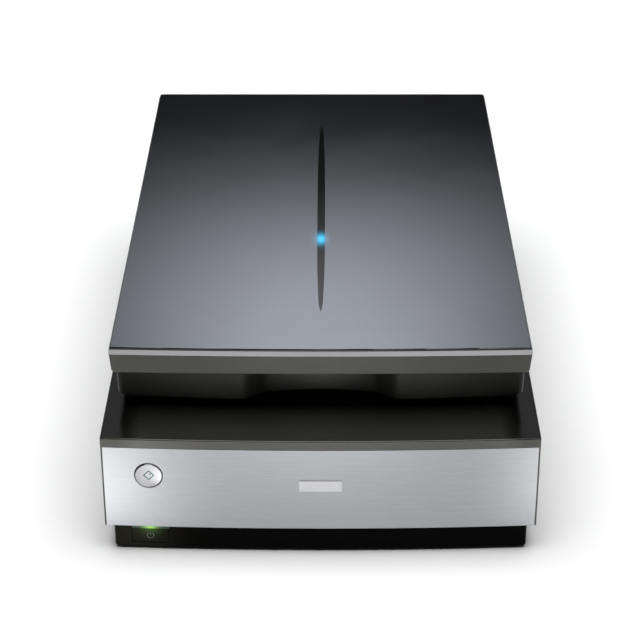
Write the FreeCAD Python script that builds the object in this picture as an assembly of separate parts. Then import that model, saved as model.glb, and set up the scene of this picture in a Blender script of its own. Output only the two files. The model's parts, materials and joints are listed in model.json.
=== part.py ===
"""Flatbed photo scanner with a film light in its lid, one STEP file per physical piece.

Millimetres. X points right as seen from the front, Y points to the rear and Z up. The origin is on the
table, under the middle of the scanner. The lid is closed and both moving heads stand part of the way back.
"""

import FreeCAD
import Part
import math
import os
from FreeCAD import Vector

# ---- Overall size ----------------------------------------------------------------------------------
WIDTH = 308.0
DEPTH = 503.0
HEIGHT = 153.0
HALF_WIDTH = WIDTH / 2
FOREMOST = -DEPTH / 2
REARMOST = DEPTH / 2
BADGE_STANDS = 0.5
CASE_FRONT = FOREMOST + BADGE_STANDS
CABLE_RADIUS = 2.2
REAR = 247.0
BOW = 4.5
BOW_RADIUS = (HALF_WIDTH**2 + BOW**2) / (2 * BOW)

# ---- Base heights ----------------------------------------------------------------------------------
FOOT_HEIGHT = 2.5
PLINTH_TOP = 22.6
STRIP_BOTTOM = 88.2
DECK = 95.5
WALL = 3.0
FLOOR_TOP = FOOT_HEIGHT + WALL
DECK_BOTTOM = DECK - WALL

# ---- Base plan -------------------------------------------------------------------------------------
PANEL_THICK = 3.0
PANEL_HALF = HALF_WIDTH - 1.2
PLINTH_HALF = 148.0
PLINTH_INSET = 4.2
PLINTH_REAR = 240.0
PLINTH_WALL = 2.5
LAP = 4.0
CASE_SCREWS = [(-139.0, -231.0), (139.0, -231.0), (-139.0, 231.0), (139.0, 231.0), (0.0, -236.0)]
FEET = [(-122.0, -212.0), (122.0, -212.0), (-122.0, 212.0), (122.0, 212.0)]
FOOT_RADIUS = 9.0

# ---- Document table --------------------------------------------------------------------------------
WINDOW_HALF = 108.0
WINDOW_FRONT = -165.0
WINDOW_BACK = WINDOW_FRONT + 297.0
GLASS_HALF = 118.0
GLASS_FRONT = -176.0
GLASS_BACK = 165.0
GLASS_THICK = 3.0
GLASS_TOP = 93.2
BEZEL_HALF = 138.0
BEZEL_FRONT = -188.0
BEZEL_BACK = 196.0
LEDGE_THICK = 2.5
CALIBRATION_FRONT = WINDOW_BACK + 8.0
CALIBRATION_DEEP = 12.0

# ---- Controls --------------------------------------------------------------------------------------
BUTTON_X = -120.8
BUTTON_Z = 65.8
BUTTON_RADIUS = 9.4
BUTTON_HOLE = 9.95
DISH_RADIUS = 44.0
DISH_DEPTH = 1.0
POWER_X = -122.0
POWER_HALF = 13.5
POWER_BOTTOM = 5.8
POWER_TOP = 18.0
LIGHT_TOP = 20.8
BOARD_FRONT = -236.0
BOARD_THICK = 1.6
BADGE_HALF = 15.0
BADGE_Z = 58.8
BADGE_TALL = 8.6

# ---- Scanning head and its drive -------------------------------------------------------------------
HEAD_Y = -48.0
HEAD_HALF_DEPTH = 40.0
HEAD_HALF_WIDTH = 117.0
HEAD_BOTTOM = 24.0
HEAD_TOP = 80.0
HEAD_WALL = 2.5
HEAD_HOME_Y = 150.0
ROD_X = -128.0
ROD_Z = 42.0
ROD_RADIUS = 4.0
ROD_FRONT = -226.0
ROD_BACK = 213.0
RAIL_X = 129.0
RAIL_TOP = 30.0
BELT_X = -93.5
BELT_PITCH_RADIUS = 6.5
BELT_BOTTOM = 14.0
BELT_TOP = 20.0
BELT_THICK = 1.4
DRIVE_Y = 212.0
IDLER_Y = -212.0
GEAR_MODULE = 0.8
PINION_TEETH = 15
GEAR_TEETH = 45
GEAR_BACKLASH = 0.12
PINION_X = BELT_X + GEAR_MODULE * (PINION_TEETH + GEAR_TEETH) / 2
GEAR_BOTTOM = 7.0
GEAR_TOP = 12.0
LENS_PITCH = 36.0
LENS_Z = 56.0
LENS_ROD_Z = 72.5
MIRROR_LOW_Z = 36.0
MIRROR_REACH = 33.0
RUNNING = 0.05

# ---- Lid -------------------------------------------------------------------------------------------
LID_HALF = 147.3
LID_BOW = 2.8
LID_RADIUS = (LID_HALF**2 + LID_BOW**2) / (2 * LID_BOW)
LID_FRONT = -225.0
LID_REAR = REARMOST
LID_BOTTOM = 134.5
LID_WALL = 3.0
LID_CORNER = 1.2
SHEET_THICK = 1.8
SHEET_BOTTOM = HEIGHT - SHEET_THICK
SHEET_HALF = 146.6
SHEET_FRONT = LID_FRONT + 2.7
BEVEL_DROP = 2.5
LID_ROOF = SHEET_BOTTOM - 2.3
SPINDLE_HALF_LENGTH = 171.5
SPINDLE_HALF_WIDTH = 3.05
SPINDLE_Y = 4.4
SLOT_HALF = 2.5
SKIRT_HALF = 145.0
SKIRT_FRONT = -209.0
SKIRT_BACK = 239.5
SKIRT_BOTTOM = 98.0
SKIRT_REAR_BOTTOM = 100.0
SKIRT_WALL = 2.5
SKIRT_DRAFT = 1.4
SCOOP_DEPTH = 14.5
SCOOP_FLAT = 34.0
SCOOP_OUT = 58.0
WAVE_LOW = DECK + 9.3
WAVE_HIGH = DECK + 12.8
WAVE_START = 50.0
WAVE_END = SKIRT_HALF + 1
WAVE_BACK = -150.0
TRAY_HALF = 139.5
TRAY_FRONT = -200.0
TRAY_BACK = 202.0
TRAY_BOTTOM = 97.0
TRAY_FLOOR_BOTTOM = 101.2
TRAY_FLOOR_TOP = 104.0
TRAY_TOP = 112.0
FILM_HALF = 104.0
FILM_FRONT = -152.0
FILM_BACK = 124.0
MAT_HALF = 118.0
MAT_FRONT = -194.0
MAT_BACK = 156.0

# ---- Film lamp in the lid --------------------------------------------------------------------------
LAMP_HALF_DEPTH = 16.0
LAMP_ROD_X = -130.0
LAMP_ROD_Z = 118.0
LAMP_ROD_RADIUS = 3.0
LAMP_BELT_X = -112.0
LAMP_BELT_BOTTOM = 129.5
LAMP_BELT_TOP = 133.5
LAMP_DRIVE_Y = 184.0
LAMP_IDLER_Y = -180.0

# ---- Hinges ----------------------------------------------------------------------------------------
HINGE_Y = 229.0
HINGE_Z = 116.0
HINGE_X = 112.0
PIN_RADIUS = 4.0
KNUCKLE_RADIUS = 8.0
KNUCKLE_HALF = 6.0
POST_HALF = 12.0
POST_HALF_DEPTH = 6.0
POST_BOTTOM = 33.0
POST_SHOULDER = 104.0
SLIDE_GAP = 0.25
NOTCH_HALF = 19.0
NOTCH_FRONT = 211.0
NOTCH_ROOF = 131.0
EAR_INSIDE = 13.5
EAR_OUTSIDE = 16.0

# ---- Rear connections ------------------------------------------------------------------------------
BAY_LEFT = -45.0
BAY_RIGHT = 55.0
BAY_BOTTOM = 32.0
BAY_TOP = 64.0
BAY_FLOOR_Y = 222.0
MAIN_BOARD_Y = 206.0
PORT_Z = 44.0
POWER_PORT_X = -25.0
DATA_PORT_X = 2.0
COVER_PORT_X = 32.0
LOCK_X = 75.0
LOCK_Z = 40.0
LOCK_ARM = 10.0
CABLE_Y = REARMOST - CABLE_RADIUS
CABLE_TOP = 93.0
CABLE_ENTRY_Z = 128.0


# ---- Shape helpers ---------------------------------------------------------------------------------
def box(x, y, z):
    """A block between pairs of X, Y and Z values."""
    size = (x[1] - x[0], y[1] - y[0], z[1] - z[0])
    return Part.makeBox(*size, Vector(x[0], y[0], z[0]))


def slab(half_width, y, z):
    """A block centred on X = 0."""
    return box((-half_width, half_width), y, z)


def rod_x(x, y, z, radius):
    return Part.makeCylinder(radius, x[1] - x[0], Vector(x[0], y, z), Vector(1, 0, 0))


def rod_y(x, y, z, radius):
    return Part.makeCylinder(radius, y[1] - y[0], Vector(x, y[0], z), Vector(0, 1, 0))


def rod_z(x, y, z, radius):
    return Part.makeCylinder(radius, z[1] - z[0], Vector(x, y, z[0]), Vector(0, 0, 1))


def fuse(shapes):
    """The shapes as one clean solid."""
    shapes = list(shapes)
    joined = shapes[0].fuse(shapes[1:]) if len(shapes) > 1 else shapes[0]
    return joined.removeSplitter()


def cut(shape, *tools):
    return shape.cut(list(tools))


def group(shapes):
    """Separate solids that share one node."""
    return Part.makeCompound(list(shapes))


def mirrored(shape):
    """The same shape on the other side of X = 0."""
    return shape.mirror(Vector(0, 0, 0), Vector(1, 0, 0))


def face_of(edges):
    return Part.Face(Part.Wire(edges))


def polygon(points):
    return Part.Face(Part.makePolygon(points + [points[0]]))


def extrude_x(points_yz, x):
    return polygon([Vector(x[0], y, z) for y, z in points_yz]).extrude(Vector(x[1] - x[0], 0, 0))


def extrude_y(points_xz, y):
    return polygon([Vector(px, y[0], pz) for px, pz in points_xz]).extrude(Vector(0, y[1] - y[0], 0))


def about(centre, half):
    """The span that reaches half to each side of a centre."""
    return (centre - half, centre + half)


def arc_y(x, front, radius):
    """Y of a front that bows forward to front at X = 0, on an arc of this radius."""
    return front + radius - math.sqrt(radius**2 - x**2)


def bowed(half_width, rear, z, inset=0.0, front=CASE_FRONT, radius=BOW_RADIUS):
    """A block whose front is an arc, moved back by inset but keeping the same centre."""
    y_mid = front + inset
    y_end = arc_y(half_width, y_mid, radius - inset)
    left, right = Vector(-half_width, y_end, z[0]), Vector(half_width, y_end, z[0])
    mid = Vector(0, y_mid, z[0])
    back_right, back_left = Vector(half_width, rear, z[0]), Vector(-half_width, rear, z[0])
    edges = [
        Part.Arc(left, mid, right).toShape(),
        Part.makeLine(right, back_right),
        Part.makeLine(back_right, back_left),
        Part.makeLine(back_left, left),
    ]
    return face_of(edges).extrude(Vector(0, 0, z[1] - z[0]))


def bowed_band(half_width, z, inset, thick, front=CASE_FRONT, radius=BOW_RADIUS):
    """A curved plate that follows the bowed front."""
    rear = arc_y(half_width, front, radius) + inset + thick + 5
    whole = bowed(half_width, rear, z, inset, front, radius)
    return whole.cut(bowed(half_width + 1, rear + 1, (z[0] - 1, z[1] + 1), inset + thick, front, radius))


def pick(shape, test):
    """The edges whose middle point passes the test."""
    return [e for e in shape.Edges if test(e.CenterOfMass, e)]


def rounded(shape, radius, test):
    return shape.makeFillet(radius, pick(shape, test))


def front_y(x, inset=0.0):
    return arc_y(x, CASE_FRONT + inset, BOW_RADIUS - inset)


def upright(edge):
    """True for a straight vertical edge."""
    ends = [v.Point for v in edge.Vertexes]
    return len(ends) == 2 and abs(ends[0].x - ends[1].x) < 1e-6 and abs(ends[0].y - ends[1].y) < 1e-6


def steep(edge):
    """True for a straight edge that climbs at least half as much as it is long."""
    ends = [v.Point for v in edge.Vertexes]
    return len(ends) == 2 and abs(ends[0].z - ends[1].z) > 0.5 * edge.Length


def spindle(half_length, half_width, z):
    """The slim pointed outline of the indicator window, full along its length and sharp at both ends."""
    steps = 12
    points = []
    for i in range(steps + 1):
        u = math.sin(math.pi * (i / steps - 0.5))
        x = half_width * math.sqrt(max(0.0, 1 - abs(u) ** 3))
        points.append(Vector(x, SPINDLE_Y + half_length * u, z[0]))
    right = Part.BSplineCurve()
    right.interpolate(points)
    left = Part.BSplineCurve()
    left.interpolate([Vector(-p.x, p.y, p.z) for p in points])
    return face_of([right.toShape(), left.toShape()]).extrude(Vector(0, 0, z[1] - z[0]))


def gear_outline(teeth, module, backlash, z, phase):
    """The outline of a spur gear with involute flanks, as one closed wire of straight and curved edges."""
    pitch = module * teeth / 2
    tip = pitch + 0.9 * module
    root = pitch - 1.15 * module
    base = pitch * math.cos(math.radians(20))
    involute_pitch = math.sqrt((pitch / base) ** 2 - 1)
    half_tooth = math.pi / (2 * teeth) - backlash / (2 * pitch)
    half_tooth += involute_pitch - math.atan(involute_pitch)
    start = max(base, root)

    def flank(side, centre):
        points = []
        for i in range(5):
            r = start + (tip - start) * i / 4
            roll = math.sqrt(max(0.0, (r / base) ** 2 - 1))
            angle = centre + side * (half_tooth - (roll - math.atan(roll)))
            points.append(Vector(r * math.cos(angle), r * math.sin(angle), z))
        return points

    edges = []
    previous = None
    for k in range(teeth + 1):
        centre = phase + 2 * math.pi * k / teeth
        rise, fall = flank(-1, centre), flank(1, centre)[::-1]
        foot = Vector(rise[0].x * root / start, rise[0].y * root / start, z)
        if previous is not None:
            edges.append(Part.makeLine(previous, foot))
        if k == teeth:
            break
        if start > root + 1e-6:
            edges.append(Part.makeLine(foot, rise[0]))
        edges.append(spline(rise))
        edges.append(Part.makeLine(rise[-1], fall[0]))
        edges.append(spline(fall))
        previous = Vector(fall[-1].x * root / start, fall[-1].y * root / start, z)
        if start > root + 1e-6:
            edges.append(Part.makeLine(fall[-1], previous))
    return edges


def spline(points):
    curve = Part.BSplineCurve()
    curve.interpolate(points)
    return curve.toShape()


def spur_gear(x, y, z, teeth, phase):
    wire = Part.Wire(gear_outline(teeth, GEAR_MODULE, GEAR_BACKLASH, z[0], phase))
    gear = Part.Face(wire).extrude(Vector(0, 0, z[1] - z[0]))
    gear.translate(Vector(x, y, 0))
    return gear


def belt_loop(x, y, z, pitch_radius, thick):
    """A flat belt around two equal pulleys with upright axes."""
    outer, inner = pitch_radius + thick / 2, pitch_radius - thick / 2

    def track(radius):
        ends = [rod_z(x, y[0], z, radius), rod_z(x, y[1], z, radius)]
        return fuse(ends + [box(about(x, radius), y, z)])

    return track(outer).cut(track(inner))


def belt_pulley(x, y, z, bore):
    """A flanged pulley that fits inside the belt with a little clearance."""
    groove = BELT_PITCH_RADIUS - BELT_THICK / 2 - 0.1
    flange = BELT_PITCH_RADIUS + 1.3
    body = [
        rod_z(x, y, z, groove),
        rod_z(x, y, (z[0], z[0] + 0.8), flange),
        rod_z(x, y, (z[1] - 0.8, z[1]), flange),
    ]
    return fuse(body).cut(rod_z(x, y, (z[0] - 1, z[1] + 1), bore))


def pan_screw(x, y, z_head, length, head=3.2, shank=1.4):
    """A cross-slotted pan-head screw, head down, whose head starts at z_head."""
    solid = fuse([rod_z(x, y, (z_head, z_head + 1.8), head), rod_z(x, y, (z_head, z_head + length), shank)])
    depth = (z_head - 0.1, z_head + 0.7)
    return cut(solid, box(about(x, 2.2), about(y, 0.4), depth), box(about(x, 0.4), about(y, 2.2), depth))


# ---- Base: casing ----------------------------------------------------------------------------------
def base_lower_case():
    """Black tray: the set-back plinth, the floor, the rod supports and the screw bosses."""
    outer = bowed(PLINTH_HALF, PLINTH_REAR, (FOOT_HEIGHT, PLINTH_TOP + LAP - 0.2), PLINTH_INSET)
    outer = rounded(outer, 3.0, lambda c, e: upright(e))
    outer = rounded(outer, 0.8, lambda c, e: abs(c.z - FOOT_HEIGHT) < 1e-6)
    inside = bowed(
        PLINTH_HALF - PLINTH_WALL,
        PLINTH_REAR - PLINTH_WALL,
        (FLOOR_TOP, PLINTH_TOP + 7),
        PLINTH_INSET + PLINTH_WALL,
    )
    tray = outer.cut(inside)
    for y in ((ROD_FRONT, ROD_FRONT + 8), (ROD_BACK - 8, ROD_BACK)):
        tray = tray.fuse(box(about(ROD_X, 6), y, (FLOOR_TOP - 0.5, ROD_Z + 7)))
    for x, y in CASE_SCREWS:
        tray = tray.fuse(rod_z(x, y, (FLOOR_TOP - 0.5, PLINTH_TOP + 2), 4.4))
    tray = tray.removeSplitter()
    tools = [rod_y(ROD_X, (ROD_FRONT + 1, ROD_BACK - 1), ROD_Z, ROD_RADIUS)]
    tools += [rod_z(x, y, (FOOT_HEIGHT - 1, FOOT_HEIGHT + 2.2), 3.6) for x, y in CASE_SCREWS]
    tools += [rod_z(x, y, (FOOT_HEIGHT, PLINTH_TOP + 3), 1.6) for x, y in CASE_SCREWS]
    tools += [rod_z(x, y, (FOOT_HEIGHT - 1, FOOT_HEIGHT + 0.8), FOOT_RADIUS + 0.1) for x, y in FEET]
    tools.append(box(about(POWER_X, POWER_HALF), (CASE_FRONT, BOARD_FRONT - 2), (POWER_BOTTOM, LIGHT_TOP)))
    return cut(tray, *tools)


def base_upper_case():
    """Dark shell: side walls, deck with the well for the document table, front strip and rear bay."""
    outer = bowed(HALF_WIDTH, REAR, (PLINTH_TOP, DECK))
    outer = rounded(outer, 4.0, lambda c, e: upright(e) and c.y > 0)
    outer = rounded(outer, 1.6, lambda c, e: upright(e) and c.y < 0)
    outer = rounded(outer, 0.9, lambda c, e: abs(c.z - DECK) < 1e-6)
    shell = cut(
        outer,
        bowed_band(PANEL_HALF, (PLINTH_TOP - 1, STRIP_BOTTOM), -1, PANEL_THICK + 1.2),
        bowed(HALF_WIDTH - WALL, REAR - WALL, (PLINTH_TOP + WALL, DECK_BOTTOM), PANEL_THICK + 2.7),
        bowed(PLINTH_HALF + 0.2, PLINTH_REAR + 0.2, (PLINTH_TOP - 1, PLINTH_TOP + LAP), PLINTH_INSET - 0.2),
    )
    well = slab(BEZEL_HALF + 0.2, (BEZEL_FRONT - 0.2, BEZEL_BACK + 0.2), (DECK_BOTTOM - 9, DECK + 1))
    ledge_bottom = GLASS_TOP - GLASS_THICK - LEDGE_THICK
    ledge = slab(BEZEL_HALF + WALL, (BEZEL_FRONT - WALL, BEZEL_BACK + WALL), (ledge_bottom, DECK - 0.5))
    opening = slab(GLASS_HALF - 6, (GLASS_FRONT + 6, GLASS_BACK - 6), (ledge_bottom - 1, DECK))
    seat = slab(BEZEL_HALF + 0.2, (BEZEL_FRONT - 0.2, BEZEL_BACK + 0.2), (GLASS_TOP - GLASS_THICK, DECK))
    shell = shell.cut(well).fuse(cut(ledge, seat, opening))
    bay = box((BAY_LEFT - 2, BAY_RIGHT + 2), (BAY_FLOOR_Y, REAR - 1), (BAY_BOTTOM - 2, BAY_TOP + 2))
    shell = shell.fuse(bay).removeSplitter()
    tools = [box((BAY_LEFT, BAY_RIGHT), (BAY_FLOOR_Y + 2, REAR + 1), (BAY_BOTTOM, BAY_TOP))]
    tools.append(box((BAY_LEFT + 4, BAY_RIGHT - 4), (BAY_FLOOR_Y - 1, REAR), (BAY_BOTTOM + 3, BAY_TOP - 3)))
    for side in (-1, 1):
        x = about(side * HINGE_X, POST_HALF + 0.3)
        tools.append(box(x, about(HINGE_Y, POST_HALF_DEPTH + 0.3), (80, DECK + 1)))
        groove = box((HALF_WIDTH - 0.6, HALF_WIDTH + 1), (CASE_FRONT, REAR + 1), about(STRIP_BOTTOM, 0.4))
        tools.append(groove if side > 0 else mirrored(groove))
    tools.append(rod_y(BUTTON_X, (CASE_FRONT, -236), BUTTON_Z, BUTTON_HOLE + 0.6))
    tools.append(rod_y(LOCK_X, (REAR - WALL - 1, REAR + 1), LOCK_Z, 9.3))
    shell = cut(shell, *tools)
    bosses = []
    for x, y in CASE_SCREWS:
        boss = rod_z(x, y, (PLINTH_TOP + 2.2, DECK_BOTTOM + 0.5), 4.4)
        bosses.append(boss.cut(rod_z(x, y, (PLINTH_TOP, PLINTH_TOP + 16), 1.5)))
    return fuse([shell] + bosses + hinge_sockets())


def front_panel():
    """Bowed brushed plate with a round hole for the scan button."""
    panel = bowed_band(PANEL_HALF - 0.2, (PLINTH_TOP + 0.2, STRIP_BOTTOM - 0.2), 0, PANEL_THICK)
    panel = panel.cut(rod_y(BUTTON_X, (CASE_FRONT - 2, CASE_FRONT + 12), BUTTON_Z, BUTTON_HOLE))
    surface = front_y(BUTTON_X)
    hole_edge = lambda c, e: c.y < surface + 0.6 and abs(c.x - BUTTON_X) < 1 and abs(c.z - BUTTON_Z) < 1
    return rounded(panel, 0.5, hole_edge)


def badge_plate():
    """Plain raised plate in the middle of the front panel."""
    return bowed_band(BADGE_HALF, about(BADGE_Z, BADGE_TALL / 2), -BADGE_STANDS, BADGE_STANDS)


def rear_port_plate():
    """Black plate at the bottom of the rear bay, with a cut-out for each socket."""
    x, z = (BAY_LEFT + 4.2, BAY_RIGHT - 4.2), (BAY_BOTTOM + 3.2, BAY_TOP - 3.2)
    plate = box(x, (BAY_FLOOR_Y + 0.2, BAY_FLOOR_Y + 1.9), z)
    return cut(
        plate,
        rod_y(POWER_PORT_X, (BAY_FLOOR_Y - 1, REAR), PORT_Z, 6.1),
        box(about(DATA_PORT_X, 6.4), (BAY_FLOOR_Y - 1, REAR), about(PORT_Z, 5.9)),
        box(about(COVER_PORT_X, 13.2), (BAY_FLOOR_Y - 1, REAR), about(PORT_Z, 4.2)),
    )


def rubber_feet():
    feet = []
    for x, y in FEET:
        foot = rod_z(x, y, (0, FOOT_HEIGHT + 0.8), FOOT_RADIUS)
        feet.append(rounded(foot, 0.8, lambda c, e: c.z < 0.01 and e.Length > 10))
    return group(feet)


def case_screws():
    return group(pan_screw(x, y, FOOT_HEIGHT + 0.4, 30) for x, y in CASE_SCREWS)


def hinge_sockets():
    """Sleeves under the deck in which the hinge posts slide up and down."""
    sleeves = []
    for side in (-1, 1):
        x = side * HINGE_X
        sleeve = box(about(x, 15.5), about(HINGE_Y, 9.5), (30, DECK_BOTTOM + 0.5))
        hollow = POST_HALF + SLIDE_GAP, POST_HALF_DEPTH + SLIDE_GAP
        inner = box((x - hollow[0], x + hollow[0]), (HINGE_Y - hollow[1], HINGE_Y + hollow[1]), (32, DECK))
        sleeves.append(sleeve.cut(inner))
    return sleeves


# ---- Base: document table --------------------------------------------------------------------------
def platen_glass():
    glass = slab(GLASS_HALF, (GLASS_FRONT, GLASS_BACK), (GLASS_TOP - GLASS_THICK, GLASS_TOP))
    return glass.makeChamfer(0.4, pick(glass, lambda c, e: abs(c.z - GLASS_TOP) < 1e-6))


def platen_frame():
    """Black bezel around the glass, flush with the deck, with bevelled window edges."""
    outer = slab(BEZEL_HALF, (BEZEL_FRONT, BEZEL_BACK), (GLASS_TOP - GLASS_THICK + 0.05, DECK))
    pocket_z = (GLASS_TOP - GLASS_THICK - 1, GLASS_TOP + 0.05)
    pocket = slab(GLASS_HALF + 0.3, (GLASS_FRONT - 0.3, GLASS_BACK + 0.3), pocket_z)
    window = slab(WINDOW_HALF, (WINDOW_FRONT, WINDOW_BACK), (GLASS_TOP - 1, DECK + 1))
    strip_y = (CALIBRATION_FRONT, CALIBRATION_FRONT + CALIBRATION_DEEP)
    strip = slab(WINDOW_HALF, strip_y, (GLASS_TOP - 1, GLASS_TOP + 0.55))
    frame = cut(outer, pocket, window, strip)

    def inner_edge(c, e):
        inside = abs(c.x) < WINDOW_HALF + 1 and WINDOW_FRONT - 1 < c.y < WINDOW_BACK + 1
        return inside and abs(c.z - DECK) < 1e-6

    return frame.makeChamfer(1.6, pick(frame, inner_edge))


def calibration_strip():
    """White reference strip that lies on the glass under the rear of the bezel."""
    y = (CALIBRATION_FRONT + 0.2, CALIBRATION_FRONT + CALIBRATION_DEEP - 0.2)
    return slab(WINDOW_HALF - 0.2, y, (GLASS_TOP + 0.02, GLASS_TOP + 0.5))


# ---- Base: controls --------------------------------------------------------------------------------
def scan_button():
    """Round dished button with a retaining flange and a stem that reaches its switch."""
    surface = front_y(BUTTON_X)
    cap = rod_y(BUTTON_X, (surface - 0.6, surface + 6.6), BUTTON_Z, BUTTON_RADIUS)
    cap = rounded(cap, 0.5, lambda c, e: c.y < surface and e.Length > 20)
    dish_y = surface - 0.6 + DISH_DEPTH - DISH_RADIUS
    dish = Part.makeSphere(DISH_RADIUS, Vector(BUTTON_X, dish_y, BUTTON_Z))
    flange = rod_y(BUTTON_X, (surface + 6.5, surface + 7.9), BUTTON_Z, BUTTON_HOLE + 1.8)
    stem = rod_y(BUTTON_X, (surface + 7.0, BOARD_FRONT - 4.2), BUTTON_Z, 3.0)
    return fuse([cap.cut(dish), flange, stem])


def power_button():
    """Wide key in the plinth, with a retaining flange and a stem."""
    x = (POWER_X - POWER_HALF + 0.3, POWER_X + POWER_HALF - 0.3)
    z = (POWER_BOTTOM + 0.3, POWER_TOP - 0.2)
    rear = BOARD_FRONT - 4.7
    key = bowed(HALF_WIDTH, rear, z, PLINTH_INSET).common(box(x, (CASE_FRONT, 0), z))
    key = rounded(key, 0.5, lambda c, e: c.y < front_y(POWER_X, PLINTH_INSET) + 1.2)
    flange = box((x[0] - 0.8, x[1] + 0.8), (rear, rear + 0.6), (z[0] + 1.5, z[1] - 1.5))
    stem = rod_y(POWER_X, (rear, BOARD_FRONT - 4.0), (z[0] + z[1]) / 2, 2.2)
    return fuse([key, flange, stem])


def power_light_bar():
    """Clear bar above the power key that carries the status light to the front."""
    x = (POWER_X - POWER_HALF + 0.3, POWER_X + POWER_HALF - 0.3)
    z = (POWER_TOP + 0.1, LIGHT_TOP - 0.2)
    bar = bowed(HALF_WIDTH, BOARD_FRONT - 3.0, z, PLINTH_INSET - 0.2).common(box(x, (CASE_FRONT, 0), z))
    return bar


def button_board():
    """Circuit board behind the front, with a switch for each button and the status light."""
    board = box((-134.0, -106.0), (BOARD_FRONT, BOARD_FRONT + BOARD_THICK), (9.0, 76.0))
    key_z = (POWER_BOTTOM + POWER_TOP) / 2 + 0.05
    parts = [board]
    for x, z in ((BUTTON_X, BUTTON_Z), (POWER_X, key_z)):
        parts.append(box(about(x, 3), (BOARD_FRONT - 2.0, BOARD_FRONT), about(z, 3)))
        parts.append(rod_y(x, (BOARD_FRONT - 2.6, BOARD_FRONT - 1.9), z, 1.7))
    light_z = (POWER_TOP + LIGHT_TOP) / 2
    parts.append(rod_y(POWER_X, (BOARD_FRONT - 2.8, BOARD_FRONT), light_z, 1.0))
    return fuse(parts)


# ---- Base: scanning head guide and drive -----------------------------------------------------------
def guide_rod():
    rod = rod_y(ROD_X, (ROD_FRONT + 1, ROD_BACK - 1), ROD_Z, ROD_RADIUS)
    return rod.makeChamfer(0.6, pick(rod, lambda c, e: e.Length > 20 and e.Length < 30))


def guide_rail():
    """Plain rail on the floor that carries the other side of the head."""
    return box(about(RAIL_X, 4), (-200.0, 196.0), (FLOOR_TOP, RAIL_TOP))


def motor_bracket():
    """Bent steel bracket over the gears, with the pulley's fixed axle."""
    plate = box((-118.0, -46.0), (192.0, 231.5), (21.0, 23.0))
    legs = [box(x, (196.0, 228.0), (FLOOR_TOP, 22.0)) for x in ((-118.0, -115.0), (-49.0, -46.0))]
    axle = rod_z(BELT_X, DRIVE_Y, (GEAR_BOTTOM - 1.3, 22.0), 2.0)
    return fuse([plate, axle] + legs).cut(rod_z(PINION_X, DRIVE_Y, (20, 24), 4.0))


def head_motor():
    """Round stepper motor on top of the bracket, with its shaft down to the pinion."""
    body = rod_z(PINION_X, DRIVE_Y, (23.0, 49.0), 17.0)
    body = rounded(body, 1.0, lambda c, e: c.z > 48 and e.Length > 50)
    boss = rod_z(PINION_X, DRIVE_Y, (21.2, 23.5), 3.9)
    shaft = rod_z(PINION_X, DRIVE_Y, (GEAR_BOTTOM, 23.0), 1.5)
    return fuse([body, boss, shaft])


def motor_pinion():
    pinion = spur_gear(PINION_X, DRIVE_Y, (GEAR_BOTTOM, GEAR_TOP), PINION_TEETH, math.pi)
    return pinion.cut(rod_z(PINION_X, DRIVE_Y, (GEAR_BOTTOM - 1, GEAR_TOP + 1), 1.5 + RUNNING))


def drive_pulley():
    """Large gear and belt pulley in one moulding, turning on the bracket's axle."""
    gear = spur_gear(BELT_X, DRIVE_Y, (GEAR_BOTTOM, GEAR_TOP), GEAR_TEETH, math.pi / GEAR_TEETH)
    pulley = belt_pulley(BELT_X, DRIVE_Y, (GEAR_TOP, BELT_TOP + 0.9), 2.0 + RUNNING)
    return fuse([gear, pulley]).cut(rod_z(BELT_X, DRIVE_Y, (GEAR_BOTTOM - 1, BELT_TOP + 2), 2.0 + RUNNING))


def idler_bracket():
    """U-shaped bracket at the front that holds the idler's axle."""
    y = (IDLER_Y - 11, IDLER_Y + 9)
    plates = [
        box(about(BELT_X, 10), y, (FLOOR_TOP, FLOOR_TOP + 1.5)),
        box(about(BELT_X, 10), y, (21.5, 23.0)),
        box(about(BELT_X, 10), (y[0], y[0] + 1.5), (FLOOR_TOP, 23.0)),
    ]
    return fuse(plates + [rod_z(BELT_X, IDLER_Y, (FLOOR_TOP, 22.5), 2.0)])


def idler_pulley():
    return belt_pulley(BELT_X, IDLER_Y, (BELT_BOTTOM - 1.0, BELT_TOP + 0.9), 2.0 + RUNNING)


def timing_belt():
    return belt_loop(BELT_X, (IDLER_Y, DRIVE_Y), (BELT_BOTTOM, BELT_TOP), BELT_PITCH_RADIUS, BELT_THICK)


# ---- Base: electronics -----------------------------------------------------------------------------
def main_board():
    """Upright circuit board across the rear, with its chips, capacitors and the lid cable's socket."""
    board = box((-44.0, 62.0), (MAIN_BOARD_Y, MAIN_BOARD_Y + BOARD_THICK), (10.0, 74.0))
    front = MAIN_BOARD_Y
    chips = [
        box((-10.0, 18.0), (front - 2.2, front), (30.0, 58.0)),
        box((26.0, 42.0), (front - 1.6, front), (44.0, 54.0)),
        box((26.0, 42.0), (front - 1.6, front), (28.0, 38.0)),
    ]
    caps = [rod_y(x, (front - 9, front), 22.0, 4.0) for x in (-34.0, -23.0)]
    back, face = front + BOARD_THICK, BAY_FLOOR_Y + 3
    socket = box(about(COVER_PORT_X, 13), (back - 0.5, face), about(PORT_Z, 4))
    mouth = box(about(COVER_PORT_X, 11.5), (face - 7, face + 1), about(PORT_Z, 2.7))
    return fuse([board, socket.cut(mouth)] + chips + caps)


def power_socket():
    """Round power inlet on the main board, with an open ring around its centre contact."""
    y = (MAIN_BOARD_Y + BOARD_THICK, BAY_FLOOR_Y + 4)
    body = rod_y(POWER_PORT_X, y, PORT_Z, 5.9)
    mouth = rod_y(POWER_PORT_X, (y[1] - 9, y[1] + 1), PORT_Z, 4.6)
    core = rod_y(POWER_PORT_X, (y[1] - 10, y[1] - 1), PORT_Z, 1.2)
    foot = box(about(POWER_PORT_X, 5.5), (y[0], y[0] + 10), (PORT_Z - 6, PORT_Z))
    return fuse([body.cut(mouth), foot.cut(mouth), core])


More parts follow.
